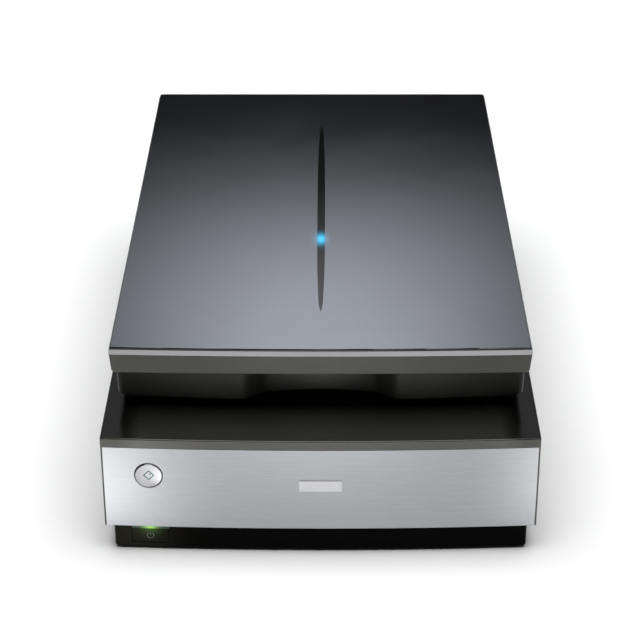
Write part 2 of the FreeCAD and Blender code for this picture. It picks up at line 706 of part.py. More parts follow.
def data_socket():
    """Square data socket with its tongue."""
    y = (MAIN_BOARD_Y + BOARD_THICK, BAY_FLOOR_Y + 4)
    x, z = DATA_PORT_X, PORT_Z
    shell = box(about(x, 6.2), y, about(z, 5.7))
    mouth = box(about(x, 4.3), (y[1] - 9, y[1] + 1), about(z, 4.0))
    tongue = box(about(x, 2.8), (y[1] - 10, y[1] - 1), about(z, 1.6))
    return fuse([shell.cut(mouth), tongue])


def cover_cable():
    """The lid's cable with its moulded plug, up behind the rear wall. Its free length is left open."""
    x, z = COVER_PORT_X, PORT_Z
    face = BAY_FLOOR_Y + 3
    blade = box(about(x, 11.2), (face - 6.5, face + 1), about(z, 2.4))
    plug = box(about(x, 14), (face + 0.1, face + 12), about(z, 5.5))
    plug = rounded(plug, 1.5, lambda c, e: True)
    boot = rod_y(x, (face + 11, face + 15), z, 3.4)
    bend = 7.0
    start, turn = Vector(x, face + 11.6, z), Vector(x, CABLE_Y - bend, z)
    corner = Vector(x, turn.y + bend * math.sin(math.pi / 4), z + bend * (1 - math.cos(math.pi / 4)))
    rise, top = Vector(x, CABLE_Y, z + bend), Vector(x, CABLE_Y, CABLE_TOP)
    elbow = Part.Arc(turn, corner, rise).toShape()
    path = Part.Wire([Part.makeLine(start, turn), elbow, Part.makeLine(rise, top)])
    ring = Part.Wire(Part.makeCircle(CABLE_RADIUS, start, Vector(0, 1, 0)))
    return fuse([blade, plug, boot, path.makePipeShell([ring], True, False)])


def cover_cable_boot():
    """Strain relief where the cable enters the back of the lid's lower shell."""
    inner, outer = SKIRT_BACK - SKIRT_WALL, SKIRT_BACK + 5
    collar = rod_y(COVER_PORT_X, (inner - 1, SKIRT_BACK + 1.2), CABLE_ENTRY_Z, 3.3)
    start = Vector(COVER_PORT_X, SKIRT_BACK, CABLE_ENTRY_Z)
    neck = Part.makeCone(2.9, CABLE_RADIUS + 0.3, outer - SKIRT_BACK, start, Vector(0, 1, 0))
    return fuse([collar, neck])


def head_flex_cable():
    """Flat cable that lies on the floor under the head."""
    return box((36.0, 60.0), (-150.0, 196.0), (FLOOR_TOP + 0.1, FLOOR_TOP + 0.5))


def transport_lock():
    """Coin-slotted knob in the rear wall, with a shaft and an arm that holds the parked head."""
    knob = rod_y(LOCK_X, (REAR - 3.2, REAR - 0.4), LOCK_Z, 9.0)
    slot = box(about(LOCK_X, 6.5), (REAR - 1.8, REAR), about(LOCK_Z, 0.9))
    arm_y = HEAD_HOME_Y + HEAD_HALF_DEPTH + 4
    shaft = rod_y(LOCK_X, (arm_y, REAR - 3), LOCK_Z, 4.0)
    arm = box(about(LOCK_X, 3), (arm_y, arm_y + 4), (LOCK_Z - LOCK_ARM, LOCK_Z))
    return fuse([knob.cut(slot), shaft, arm])


# ---- Scanning head ---------------------------------------------------------------------------------
def head_housing():
    """Black box of the scanning head, with the rod ears, the slider, the belt clamp and the lock hook."""
    y = about(HEAD_Y, HEAD_HALF_DEPTH)
    outer = slab(HEAD_HALF_WIDTH, y, (HEAD_BOTTOM, HEAD_TOP))
    outer = rounded(outer, 3.0, lambda c, e: upright(e))
    inner_y = (y[0] + HEAD_WALL, y[1] - HEAD_WALL)
    inner = slab(HEAD_HALF_WIDTH - HEAD_WALL, inner_y, (HEAD_BOTTOM + HEAD_WALL, HEAD_TOP + 1))
    sensor = box((-45.0, 45.0), (y[1] - HEAD_WALL - 1, y[1] + 1), about(LENS_Z, 7))
    parts = [cut(outer, inner, sensor)]
    for ear in ((y[0], y[0] + 18), (y[1] - 18, y[1])):
        parts.append(box((ROD_X - 8, -HEAD_HALF_WIDTH + 1), ear, about(ROD_Z, 9)))
    parts.append(box((HEAD_HALF_WIDTH - 1, RAIL_X + 5), about(HEAD_Y, 20), (RAIL_TOP + 0.2, RAIL_TOP + 6)))
    run_x = BELT_X - BELT_PITCH_RADIUS
    clamp = box(about(run_x, 4), about(HEAD_Y, 8), (BELT_BOTTOM - 2, HEAD_BOTTOM + 0.5))
    slot = box(about(run_x, BELT_THICK / 2 + 0.4), about(HEAD_Y, 9), (BELT_BOTTOM - 0.5, BELT_TOP + 0.5))
    parts.append(clamp.cut(slot))
    hook = [
        box((LOCK_X + 11, LOCK_X + 13), (y[1] - 0.5, y[1] + 12.5), about(LOCK_Z, 6)),
        box((LOCK_X + 5, LOCK_X + 13), (y[1] + 10, y[1] + 12.5), about(LOCK_Z, 6)),
    ]
    cross_rail = rod_x((1 - HEAD_HALF_WIDTH, HEAD_HALF_WIDTH - 1), HEAD_Y + 18, LENS_ROD_Z, 2.0)
    body = fuse(parts + hook + [cross_rail])
    return body.cut(rod_y(ROD_X, (y[0] - 1, y[1] + 1), ROD_Z, 6.0))


def head_cover():
    """Lid of the scanning head, with the slit that the light comes back through."""
    y = about(HEAD_Y, HEAD_HALF_DEPTH)
    cover = slab(HEAD_HALF_WIDTH, y, (HEAD_TOP, HEAD_TOP + 2))
    cover = rounded(cover, 3.0, lambda c, e: upright(e))
    return cover.cut(slab(WINDOW_HALF, about(HEAD_Y, 3), (HEAD_TOP - 1, HEAD_TOP + 3)))


def scan_lamps():
    """Two light bars, one on each side of the slit."""
    lamps = []
    for side in (-1, 1):
        y = sorted((HEAD_Y + side * 6, HEAD_Y + side * 13))
        lamps.append(slab(WINDOW_HALF + 4, y, (HEAD_TOP + 2, HEAD_TOP + 5)))
    return group(lamps)


def mirror_plate(y, z, height, lean):
    """A long thin mirror held between the head's end walls, tilted by lean degrees from upright."""
    plate = slab(HEAD_HALF_WIDTH - HEAD_WALL, (-1.5, 1.5), (-height / 2, height / 2))
    plate.rotate(Vector(0, 0, 0), Vector(1, 0, 0), lean)
    plate.translate(Vector(0, y, z))
    return plate


def scan_mirrors():
    """Three mirrors that fold the light path from the slit to the lens."""
    lean = math.degrees(math.atan2(LENS_Z - MIRROR_LOW_Z, 2 * MIRROR_REACH) / 2)
    return group(
        [
            mirror_plate(HEAD_Y, MIRROR_LOW_Z, 17.0, 45.0),
            mirror_plate(HEAD_Y + MIRROR_REACH, MIRROR_LOW_Z, 16.0, -lean),
            mirror_plate(HEAD_Y - MIRROR_REACH, LENS_Z, 16.0, -lean),
        ]
    )


def sensor_board():
    """Circuit board on the back of the head, with the line sensor behind the lens."""
    back = HEAD_Y + HEAD_HALF_DEPTH
    board = box((-50.0, 50.0), (back + 0.1, back + 1.7), (32.0, 74.0))
    sensor = box((-32.0, 32.0), (back - 2.6, back + 0.5), about(LENS_Z, 5))
    return fuse([board, sensor])


def rod_bushes():
    """Two bronze bushes in the head's ears that run on the rod."""
    bushes = []
    for start in (HEAD_Y - HEAD_HALF_DEPTH, HEAD_Y + HEAD_HALF_DEPTH - 18):
        bush = rod_y(ROD_X, (start + 0.5, start + 17.5), ROD_Z, 6.0)
        bushes.append(bush.cut(rod_y(ROD_X, (start, start + 18), ROD_Z, ROD_RADIUS + RUNNING)))
    return group(bushes)


def lens_block():
    """Block with two lens seats side by side that slides to bring either lens into the light path."""
    y = (HEAD_Y + 10, HEAD_Y + 26)
    body = box((-13.0, LENS_PITCH + 13), y, about(LENS_Z, 11))
    hanger = box((-6.0, LENS_PITCH + 6), (y[0] + 4, y[1] - 4), (LENS_Z + 10, LENS_ROD_Z + 4))
    bores = [rod_y(x, (y[0] - 1, y[1] + 1), LENS_Z, 9.0) for x in (0.0, LENS_PITCH)]
    return cut(fuse([body, hanger]), rod_x((-20, 80), HEAD_Y + 18, LENS_ROD_Z, 2.0 + RUNNING), *bores)


def lens_barrels():
    """The two lenses in their barrels."""
    barrels = []
    for x, radius in ((0.0, 6.0), (LENS_PITCH, 4.5)):
        barrel = rod_y(x, (HEAD_Y + 7, HEAD_Y + 29), LENS_Z, 9.0)
        barrels.append(barrel.cut(rod_y(x, (HEAD_Y + 6, HEAD_Y + 8.5), LENS_Z, radius + 1)))
    return group(barrels)


# ---- Lid: covers -----------------------------------------------------------------------------------
def lid_cover():
    """Upper housing of the lid: bevelled front lip, tapered sides, roof and a rear notch for the cable."""
    profile = [
        (-LID_HALF, SHEET_BOTTOM),
        (LID_HALF, SHEET_BOTTOM),
        (LID_HALF, SHEET_BOTTOM - 2),
        (LID_HALF - 1.3, LID_BOTTOM + 1.5),
        (LID_HALF - 2.6, LID_BOTTOM),
        (2.6 - LID_HALF, LID_BOTTOM),
        (1.3 - LID_HALF, LID_BOTTOM + 1.5),
        (-LID_HALF, SHEET_BOTTOM - 2),
    ]
    bar = extrude_y(profile, (LID_FRONT - 5, LID_REAR))
    outer = bar.common(bowed(LID_HALF + 1, LID_REAR, (LID_BOTTOM, SHEET_BOTTOM), 0, LID_FRONT, LID_RADIUS))

    def front_corner(c, e):
        return c.y < LID_FRONT + 4 and abs(c.x) > LID_HALF - 3 and steep(e)

    def rear_corner(c, e):
        return c.y > LID_REAR - 0.01 and abs(c.x) > LID_HALF - 2 and 140 < c.z < 150

    outer = rounded(outer, LID_CORNER, front_corner)
    outer = outer.cut(bevel_tool())
    outer = rounded(outer, 0.6, lambda c, e: c.z < LID_BOTTOM + 0.01 and c.y < LID_FRONT + 4)
    outer = rounded(outer, 3.0, rear_corner)
    half = LID_HALF - 1.3 - LID_WALL
    cavity_z = (LID_BOTTOM + 2.5, LID_ROOF)
    cavity = bowed(half, LID_REAR - LID_WALL, cavity_z, LID_WALL + 1, LID_FRONT, LID_RADIUS)
    mouth = slab(SKIRT_HALF - 1.8, (SKIRT_FRONT + 17.5, SKIRT_BACK - 2.2), (LID_BOTTOM - 1, LID_BOTTOM + 3))
    slot = slab(SLOT_HALF, (HEAD_Y - 112, HEAD_Y + 178), (LID_ROOF - 1, SHEET_BOTTOM + 1))
    shell = cut(outer, cavity, mouth, slot)
    channel = about(COVER_PORT_X, 5.0)
    shell = shell.cut(box(channel, (SKIRT_BACK + 0.5, LID_REAR + 1), (LID_BOTTOM - 1, LID_BOTTOM + 12)))
    idler_pin = rod_z(LAMP_BELT_X, LAMP_IDLER_Y, (LAMP_BELT_BOTTOM - 2.5, LID_ROOF + 0.5), 2.0)
    return fuse([shell, idler_pin])


def bevel_tool():
    """What the sloping face along the lid's front edge takes away, following the bow."""
    run = SHEET_FRONT - LID_FRONT - 0.1
    low = SHEET_BOTTOM - BEVEL_DROP * (1 + 2 / run)
    top = SHEET_BOTTOM + 1
    corners = [(LID_FRONT - 2, top), (LID_FRONT - 2, low)]
    corners += [(LID_FRONT + run, SHEET_BOTTOM), (LID_FRONT + run, top)]
    face = polygon([Vector(0, y, z) for y, z in corners])
    centre = Vector(0, LID_FRONT + LID_RADIUS, 0)
    angle = math.degrees(math.asin((LID_HALF + 2) / LID_RADIUS))
    face.rotate(centre, Vector(0, 0, 1), -angle)
    return face.revolve(centre, Vector(0, 0, 1), 2 * angle)


def lid_top_panel():
    """Flat metallic sheet on top of the lid, with the slim opening for the indicator window."""
    front = SHEET_FRONT
    sheet = bowed(SHEET_HALF, LID_REAR - 0.6, (SHEET_BOTTOM, HEIGHT), 0, front, LID_RADIUS)
    sheet = rounded(sheet, 2.4, lambda c, e: upright(e) and c.y > 0)
    sheet = rounded(sheet, 0.5, lambda c, e: c.z > HEIGHT - 0.01)
    return sheet.cut(spindle(SPINDLE_HALF_LENGTH, SPINDLE_HALF_WIDTH, (SHEET_BOTTOM - 1, HEIGHT + 1)))


def indicator_window():
    """Smoked window in the top sheet, sunk a little below its surface."""
    z = (SHEET_BOTTOM + 0.05, HEIGHT - 0.3)
    return spindle(SPINDLE_HALF_LENGTH - 0.1, SPINDLE_HALF_WIDTH - 0.05, z)


def scoop_y(x, offset):
    """Y of the lower shell's front at this X, with the shallow scoop for the fingers in the middle."""
    away = min(1.0, max(0.0, (abs(x) - SCOOP_FLAT) / (SCOOP_OUT - SCOOP_FLAT)))
    ease = 0.5 * (1 + math.cos(math.pi * away))
    depth = (SCOOP_DEPTH - 3.0 * (x / SCOOP_FLAT) ** 2 * (1 if abs(x) < SCOOP_FLAT else 0)) * ease
    if abs(x) >= SCOOP_FLAT:
        depth = (SCOOP_DEPTH - 3.0) * ease
    return arc_y(x, SKIRT_FRONT, LID_RADIUS) + offset + depth


def skirt_block(half_width, offset, rear, z):
    """A block whose front follows the scooped outline, moved back by offset."""
    span = SCOOP_OUT + 6
    xs = [-span + 2 * span * i / 24 for i in range(25)]
    middle = spline([Vector(x, scoop_y(x, offset), z[0]) for x in xs])
    y_span, y_end = scoop_y(span, offset), scoop_y(half_width, offset)
    left, right = Vector(-half_width, y_end, z[0]), Vector(half_width, y_end, z[0])
    edges = [
        Part.makeLine(left, Vector(-span, y_span, z[0])),
        middle,
        Part.makeLine(Vector(span, y_span, z[0]), right),
        Part.makeLine(right, Vector(half_width, rear, z[0])),
        Part.makeLine(Vector(half_width, rear, z[0]), Vector(-half_width, rear, z[0])),
        Part.makeLine(Vector(-half_width, rear, z[0]), left),
    ]
    return face_of(edges).extrude(Vector(0, 0, z[1] - z[0]))


def wave_cutters():
    """What lies under the waved lower edge of the shell's front, and under its corners and sides."""
    low, high = SKIRT_BOTTOM - 1, WAVE_HIGH
    front, start, side = SKIRT_FRONT - 10, SKIRT_FRONT + 20, SKIRT_HALF + 2
    steps = 8
    rise = []
    for i in range(steps + 1):
        t = i / steps
        x = WAVE_START + (WAVE_END - WAVE_START) * t
        rise.append(Vector(x, front, WAVE_LOW + (high - WAVE_LOW) * t**2))
    fall = [Vector(-p.x, p.y, p.z) for p in rise[::-1]]
    outline = [Vector(x, front, z) for x, z in ((-side, high), (-side, low), (side, low), (side, high))]
    edges = [Part.makeLine(a, b) for a, b in zip(outline, outline[1:])]
    edges += [Part.makeLine(outline[-1], rise[-1]), spline(rise), Part.makeLine(rise[0], fall[-1])]
    edges += [spline(fall), Part.makeLine(fall[0], outline[0])]
    wave = Part.Face(Part.Wire(Part.sortEdges(edges)[0])).extrude(Vector(0, start - front, 0))
    profile = [(start, low), (start, high), (start + 6, high - 0.6), (WAVE_BACK - 8, SKIRT_BOTTOM + 0.6)]
    profile += [(WAVE_BACK, SKIRT_BOTTOM), (WAVE_BACK, low)]
    ramp = extrude_x(profile, (SKIRT_HALF - 6, side))
    return [wave, ramp, mirrored(ramp)]


def lid_lower_shell():
    """Set-back lower body of the lid: scooped front, waved lower edge and two pockets for the hinges."""
    top, low = SKIRT_HALF, SKIRT_HALF - SKIRT_DRAFT
    tapered = [(-top, LID_BOTTOM), (top, LID_BOTTOM), (low, SKIRT_BOTTOM), (-low, SKIRT_BOTTOM)]
    outer = skirt_block(SKIRT_HALF + 1, 0, SKIRT_BACK, (SKIRT_BOTTOM, LID_BOTTOM))
    outer = outer.common(extrude_y(tapered, (SKIRT_FRONT - 5, SKIRT_BACK)))
    outer = rounded(outer, 4.0, lambda c, e: steep(e) and abs(c.x) > SKIRT_HALF - 2)
    inner_back = SKIRT_BACK - SKIRT_WALL
    lip_z = (LID_BOTTOM - 3, LID_BOTTOM + 4)
    lip = skirt_block(SKIRT_HALF - 2, SKIRT_WALL + 0.2, inner_back, lip_z)
    lip = lip.common(slab(SKIRT_HALF, (SKIRT_FRONT + 18, inner_back), lip_z))
    body = outer.fuse(lip)
    inside_z = (SKIRT_BOTTOM - 1, LID_BOTTOM - 3)
    inside = skirt_block(SKIRT_HALF - SKIRT_WALL, SKIRT_WALL, inner_back, inside_z)
    upper = slab(SKIRT_HALF - 4.4, (SKIRT_FRONT + 20.4, SKIRT_BACK - 5), (LID_BOTTOM - 4, LID_BOTTOM + 5))
    body = cut(body, inside, upper)
    floor_z = (SKIRT_REAR_BOTTOM, SKIRT_REAR_BOTTOM + 2.5)
    floor = slab(SKIRT_HALF - 1, (TRAY_BACK + 0.4, SKIRT_BACK - 1), floor_z)
    housing_y, housing_z = (NOTCH_FRONT - 2, SKIRT_BACK - 1), (SKIRT_REAR_BOTTOM, LID_BOTTOM - 0.2)
    housings = [box(about(side * HINGE_X, NOTCH_HALF + 2), housing_y, housing_z) for side in (-1, 1)]
    body = fuse([body, floor] + housings)
    tools = wave_cutters()
    tools.append(slab(SKIRT_HALF + 1, (TRAY_BACK, SKIRT_BACK + 1), (SKIRT_BOTTOM - 1, SKIRT_REAR_BOTTOM)))
    notch_y, notch_z = (NOTCH_FRONT, SKIRT_BACK + 1), (SKIRT_BOTTOM - 1, NOTCH_ROOF)
    tools += [box(about(side * HINGE_X, NOTCH_HALF), notch_y, notch_z) for side in (-1, 1)]
    tools += [rod_z(x, y, (NOTCH_ROOF - 1, NOTCH_ROOF + 2.6), 1.25) for x, y in arm_screw_places()]
    tools.append(rod_y(COVER_PORT_X, (SKIRT_BACK - SKIRT_WALL - 1, SKIRT_BACK + 1), CABLE_ENTRY_Z, 3.3))
    return cut(body, *tools).removeSplitter()


def lid_inner_frame():
    """Black tray in the lid that holds the light window, the lamp's rod and the document mat's guides."""
    outer = slab(TRAY_HALF, (TRAY_FRONT, TRAY_BACK), (TRAY_BOTTOM, TRAY_TOP))
    outer = outer.common(skirt_block(TRAY_HALF, SKIRT_WALL + 2.5, TRAY_BACK, (TRAY_BOTTOM, TRAY_TOP)))
    hollow = slab(TRAY_HALF - 3, (TRAY_FRONT + 14, TRAY_BACK - 3), (TRAY_FLOOR_TOP, TRAY_TOP + 1))
    mat_space = slab(MAT_HALF + 0.8, (TRAY_FRONT - 20, MAT_BACK + 1), (TRAY_BOTTOM - 1, TRAY_FLOOR_BOTTOM))
    film = slab(FILM_HALF, (FILM_FRONT, FILM_BACK), (TRAY_BOTTOM - 1, TRAY_TOP))
    rebate = slab(FILM_HALF + 4.1, (FILM_FRONT - 4.1, FILM_BACK + 4.1), (TRAY_FLOOR_TOP - 1.8, TRAY_TOP))
    mouth = slab(TRAY_HALF + 1, (TRAY_FRONT - 20, TRAY_FRONT + 11), (TRAY_BOTTOM - 1, TRAY_FLOOR_BOTTOM))
    tray = cut(outer, hollow, mat_space, mouth, film, rebate)
    parts = [tray]
    for y in ((TRAY_FRONT + 14, TRAY_FRONT + 20), (TRAY_BACK - 10, TRAY_BACK - 4)):
        parts.append(box(about(LAMP_ROD_X, 4), y, (TRAY_FLOOR_TOP - 0.5, LAMP_ROD_Z + 5)))
    parts.append(box((123.0, 129.0), (TRAY_FRONT + 14, TRAY_BACK - 3), (TRAY_FLOOR_TOP - 0.5, 110.0)))
    return fuse(parts).cut(rod_y(LAMP_ROD_X, (TRAY_FRONT + 15, TRAY_BACK - 5), LAMP_ROD_Z, LAMP_ROD_RADIUS))


def light_window():
    return slab(FILM_HALF + 4, (FILM_FRONT - 4, FILM_BACK + 4), (TRAY_FLOOR_TOP - 1.8, TRAY_FLOOR_TOP))


def lid_bumpers():
    """Rubber pads under the lid that meet the deck."""
    pads = []
    for x in (-130.0, 130.0):
        for y in (-184.0, 190.0):
            pads.append(rod_z(x, y, (DECK + 0.1, TRAY_BOTTOM), 4.0))
    return group(pads)


def arm_screw_places():
    return [(side * HINGE_X + dx, y) for side in (-1, 1) for dx in (-9.0, 9.0) for y in (218.0, 233.0)]


def lid_screws():
    """Screws that hold the hinge arms to the lid."""
    screws = []
    for x, y in arm_screw_places():
        head = rod_z(x, y, (NOTCH_ROOF - 4.2, NOTCH_ROOF - 2.6), 2.6)
        screws.append(fuse([head, rod_z(x, y, (NOTCH_ROOF - 3, NOTCH_ROOF + 2.4), 1.2)]))
    return group(screws)


# ---- Lid: hinges -----------------------------------------------------------------------------------
def hinge_post():
    """Upright post with a bored knuckle at its top."""
    y = about(HINGE_Y, POST_HALF_DEPTH)
    leg = box(about(HINGE_X, POST_HALF), y, (POST_BOTTOM, POST_SHOULDER))
    leg = rounded(leg, 1.0, lambda c, e: upright(e) or c.z > POST_SHOULDER - 0.01)
    x = about(HINGE_X, KNUCKLE_HALF)
    neck = box(x, y, (POST_SHOULDER - 1, HINGE_Z))
    knuckle = rod_x(x, HINGE_Y, HINGE_Z, KNUCKLE_RADIUS)
    bore = rod_x((x[0] - 1, x[1] + 1), HINGE_Y, HINGE_Z, PIN_RADIUS + RUNNING)
    return fuse([leg, neck, knuckle]).cut(bore)


def hinge_posts():
    return group([hinge_post(), mirrored(hinge_post())])


def hinge_springs():
    """Counterbalance springs around the hinge pins: coils on both sides of each knuckle, joined by a leg."""
    wire, coil, pitch, turns = 0.6, 5.35, 1.3, 5
    springs = []
    for side in (-1, 1):
        for away in (-1, 1):
            first = side * HINGE_X + away * (KNUCKLE_HALF + 1.1)
            last = first + away * pitch * (turns - 1)
            rings = [
                Part.makeTorus(
                    coil, wire, Vector(first + away * pitch * i, HINGE_Y, HINGE_Z), Vector(1, 0, 0)
                )
                for i in range(turns)
            ]
            leg = rod_x(sorted((first, last)), HINGE_Y + coil + 0.15, HINGE_Z, wire * 0.7)
            springs.append(leg.fuse(rings))
    return group(springs)


def hinge_arm():
    """U-shaped steel arm: a plate under the pocket's roof and two ears around the pin."""
    plate = box(about(HINGE_X, EAR_OUTSIDE), (213.0, 238.0), (NOTCH_ROOF - 2.6, NOTCH_ROOF))
    parts = [plate]
    for x in ((HINGE_X - EAR_OUTSIDE, HINGE_X - EAR_INSIDE), (HINGE_X + EAR_INSIDE, HINGE_X + EAR_OUTSIDE)):
        parts.append(rod_x(x, HINGE_Y, HINGE_Z, KNUCKLE_RADIUS))
        parts.append(box(x, about(HINGE_Y, KNUCKLE_RADIUS), (HINGE_Z, NOTCH_ROOF - 1)))
    arm = fuse(parts).cut(rod_x(about(HINGE_X, 20), HINGE_Y, HINGE_Z, PIN_RADIUS))
    holes = [rod_z(x, y, (NOTCH_ROOF - 5, NOTCH_ROOF + 1), 1.3) for x, y in arm_screw_places() if x > 0]
    return cut(arm, *holes)


def hinge_arms():
    return group([hinge_arm(), mirrored(hinge_arm())])


def hinge_pins():
    pins = []
    for side in (-1, 1):
        x = about(side * HINGE_X, EAR_OUTSIDE + 1.2)
        pins.append(rod_x(x, HINGE_Y, HINGE_Z, PIN_RADIUS))
    return group(pins)


# ---- Lid: film lamp --------------------------------------------------------------------------------
def lamp_guide_rod():
    return rod_y(LAMP_ROD_X, (TRAY_FRONT + 15, TRAY_BACK - 5), LAMP_ROD_Z, LAMP_ROD_RADIUS)


def lamp_carriage():
    """Trough that carries the film lamp along the lid, with a rod ear, a slider and a belt clamp."""
    y = about(HEAD_Y, LAMP_HALF_DEPTH)
    outer = box((-121.0, 121.0), y, (107.0, 124.0))
    inner = box((-118.0, 118.0), (y[0] + 2, y[1] - 2), (106.0, 122.0))
    ear = box((LAMP_ROD_X - 5.6, -120.0), y, about(LAMP_ROD_Z, 6))
    slider = box((120.0, 131.0), about(HEAD_Y, 12), (110.2, 114.0))
    run_x = LAMP_BELT_X - BELT_PITCH_RADIUS
    clamp = box(about(run_x, 3), about(HEAD_Y, 6), (123.5, LAMP_BELT_TOP + 2))
    slot = box(
        about(run_x, BELT_THICK / 2 + 0.4), about(HEAD_Y, 7), (LAMP_BELT_BOTTOM - 0.5, LAMP_BELT_TOP + 0.5)
    )
    body = fuse([outer.cut(inner), ear, slider, clamp.cut(slot)])
    return body.cut(rod_y(LAMP_ROD_X, (y[0] - 1, y[1] + 1), LAMP_ROD_Z, LAMP_ROD_RADIUS + RUNNING))


def film_lamp():
    """Light bar of the film lamp, facing down through the window."""
    return slab(FILM_HALF + 6, about(HEAD_Y, 7), (112.0, 120.0))


def position_light():
    """Blue light that rides on the lamp carriage and shows through the slot under the indicator window."""
    post = rod_z(0, HEAD_Y, (124.0, SHEET_BOTTOM - 0.8), 1.7)
    return post.fuse(Part.makeSphere(1.7, Vector(0, HEAD_Y, SHEET_BOTTOM - 1.9))).removeSplitter()


def lamp_motor():
    """Flat stepper motor under the lid's roof, with its shaft through the pulley."""
    body = rod_z(LAMP_BELT_X, LAMP_DRIVE_Y, (136.0, LID_ROOF), 14.0)
    return fuse([body, rod_z(LAMP_BELT_X, LAMP_DRIVE_Y, (127.5, 137.0), 1.5)])


def lamp_drive_pulley():
    return belt_pulley(LAMP_BELT_X, LAMP_DRIVE_Y, (LAMP_BELT_BOTTOM - 1, LAMP_BELT_TOP + 1), 1.5 + RUNNING)


def lamp_idler_pulley():
    return belt_pulley(LAMP_BELT_X, LAMP_IDLER_Y, (LAMP_BELT_BOTTOM - 1, LAMP_BELT_TOP + 1), 2.0 + RUNNING)


def lamp_belt():
    y, z = (LAMP_IDLER_Y, LAMP_DRIVE_Y), (LAMP_BELT_BOTTOM, LAMP_BELT_TOP)
    return belt_loop(LAMP_BELT_X, y, z, BELT_PITCH_RADIUS, BELT_THICK)


# ---- Document mat ----------------------------------------------------------------------------------
def mat_carrier():
    """Black backing of the document mat, with a front lip to pull it out by."""
    plate = slab(MAT_HALF, (MAT_FRONT, MAT_BACK), (98.4, TRAY_FLOOR_BOTTOM - 0.3))
    lip = slab(MAT_HALF, (MAT_FRONT, MAT_FRONT + 5), (DECK + 0.8, 99.0))
    return fuse([plate, lip])


def document_mat():
    """White backing sheet that presses the document flat."""
    return slab(MAT_HALF - 2, (MAT_FRONT + 7, MAT_BACK - 2), (DECK + 0.5, 98.4))


NODES = [
    base_lower_case, base_upper_case, front_panel, badge_plate, rear_port_plate, rubber_feet, case_screws,
    platen_glass, platen_frame, calibration_strip, scan_button, power_button, power_light_bar, button_board,
    guide_rod, guide_rail, motor_bracket, head_motor, motor_pinion, drive_pulley, idler_bracket, idler_pulley,
    timing_belt, main_board, power_socket, data_socket, cover_cable, head_flex_cable, transport_lock,
    head_housing, head_cover, scan_lamps, scan_mirrors, sensor_board, rod_bushes, lens_block, lens_barrels,
    hinge_posts, hinge_springs, hinge_arms, hinge_pins, lid_cover, lid_top_panel, indicator_window,
    lid_lower_shell, lid_inner_frame, light_window, lid_bumpers, lid_screws, cover_cable_boot, lamp_guide_rod,
    lamp_carriage, film_lamp, position_light, lamp_motor, lamp_drive_pulley, lamp_idler_pulley, lamp_belt,
    mat_carrier, document_mat,
]  # fmt: skip


def main():
    os.makedirs("parts", exist_ok=True)
    for make in NODES:
        shape = make()
        shape.exportStep(os.path.join("parts", make.__name__ + ".step"))
        b = shape.BoundBox
        span = f"x {b.XMin:.1f} {b.XMax:.1f} y {b.YMin:.1f} {b.YMax:.1f} z {b.ZMin:.1f} {b.ZMax:.1f}"
        print(f"{make.__name__:20s} valid={shape.isValid()} solids={len(shape.Solids)} {span}")


main()
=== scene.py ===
import bpy
import bmesh
import json
import math
from mathutils import Matrix, Vector


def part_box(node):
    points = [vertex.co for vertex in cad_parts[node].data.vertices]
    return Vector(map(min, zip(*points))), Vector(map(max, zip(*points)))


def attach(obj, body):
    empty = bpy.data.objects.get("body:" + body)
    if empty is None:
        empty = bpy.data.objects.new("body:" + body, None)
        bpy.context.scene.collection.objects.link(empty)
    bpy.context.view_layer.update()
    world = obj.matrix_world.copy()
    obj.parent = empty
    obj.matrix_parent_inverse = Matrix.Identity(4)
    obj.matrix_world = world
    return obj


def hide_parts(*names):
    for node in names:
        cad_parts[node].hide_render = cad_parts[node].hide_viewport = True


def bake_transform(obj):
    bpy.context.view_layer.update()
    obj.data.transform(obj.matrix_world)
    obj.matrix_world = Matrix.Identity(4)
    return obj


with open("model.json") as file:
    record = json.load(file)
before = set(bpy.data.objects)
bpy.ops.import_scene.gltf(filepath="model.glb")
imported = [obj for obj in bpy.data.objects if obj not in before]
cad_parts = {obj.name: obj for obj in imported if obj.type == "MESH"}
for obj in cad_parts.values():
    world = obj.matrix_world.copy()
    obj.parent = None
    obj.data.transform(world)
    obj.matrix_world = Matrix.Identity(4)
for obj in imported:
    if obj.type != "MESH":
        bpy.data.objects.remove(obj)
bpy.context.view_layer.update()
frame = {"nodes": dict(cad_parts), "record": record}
nodes = frame["nodes"]

MM = 0.001
CABLE_RADIUS = 2.3 * MM

# Strengths of the studio's lights
WORLD_POWER = 0.4
OVERHEAD_POWER = 80
REAR_CARD_POWER = 2.3
LEFT_CARD_POWER = 2.9
RIGHT_CARD_POWER = 2.8
MIDDLE_CARD_POWER = 2.6
FLOOR_GLOW = 0.3


# ---- Small helpers ---------------------------------------------------------------------------------
def mm(*values):
    """A point given in millimetres."""
    return Vector(values) * MM


def middle(node):
    """The centre of a CAD node at rest."""
    low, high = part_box(node)
    return (low + high) / 2


def new_piece(name, mesh, material, body):
    """A mesh object that rides on a CAD body."""
    piece = bpy.data.objects.new(name, mesh)
    bpy.context.scene.collection.objects.link(piece)
    mesh.materials.append(material)
    if body:
        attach(piece, body)
    return piece


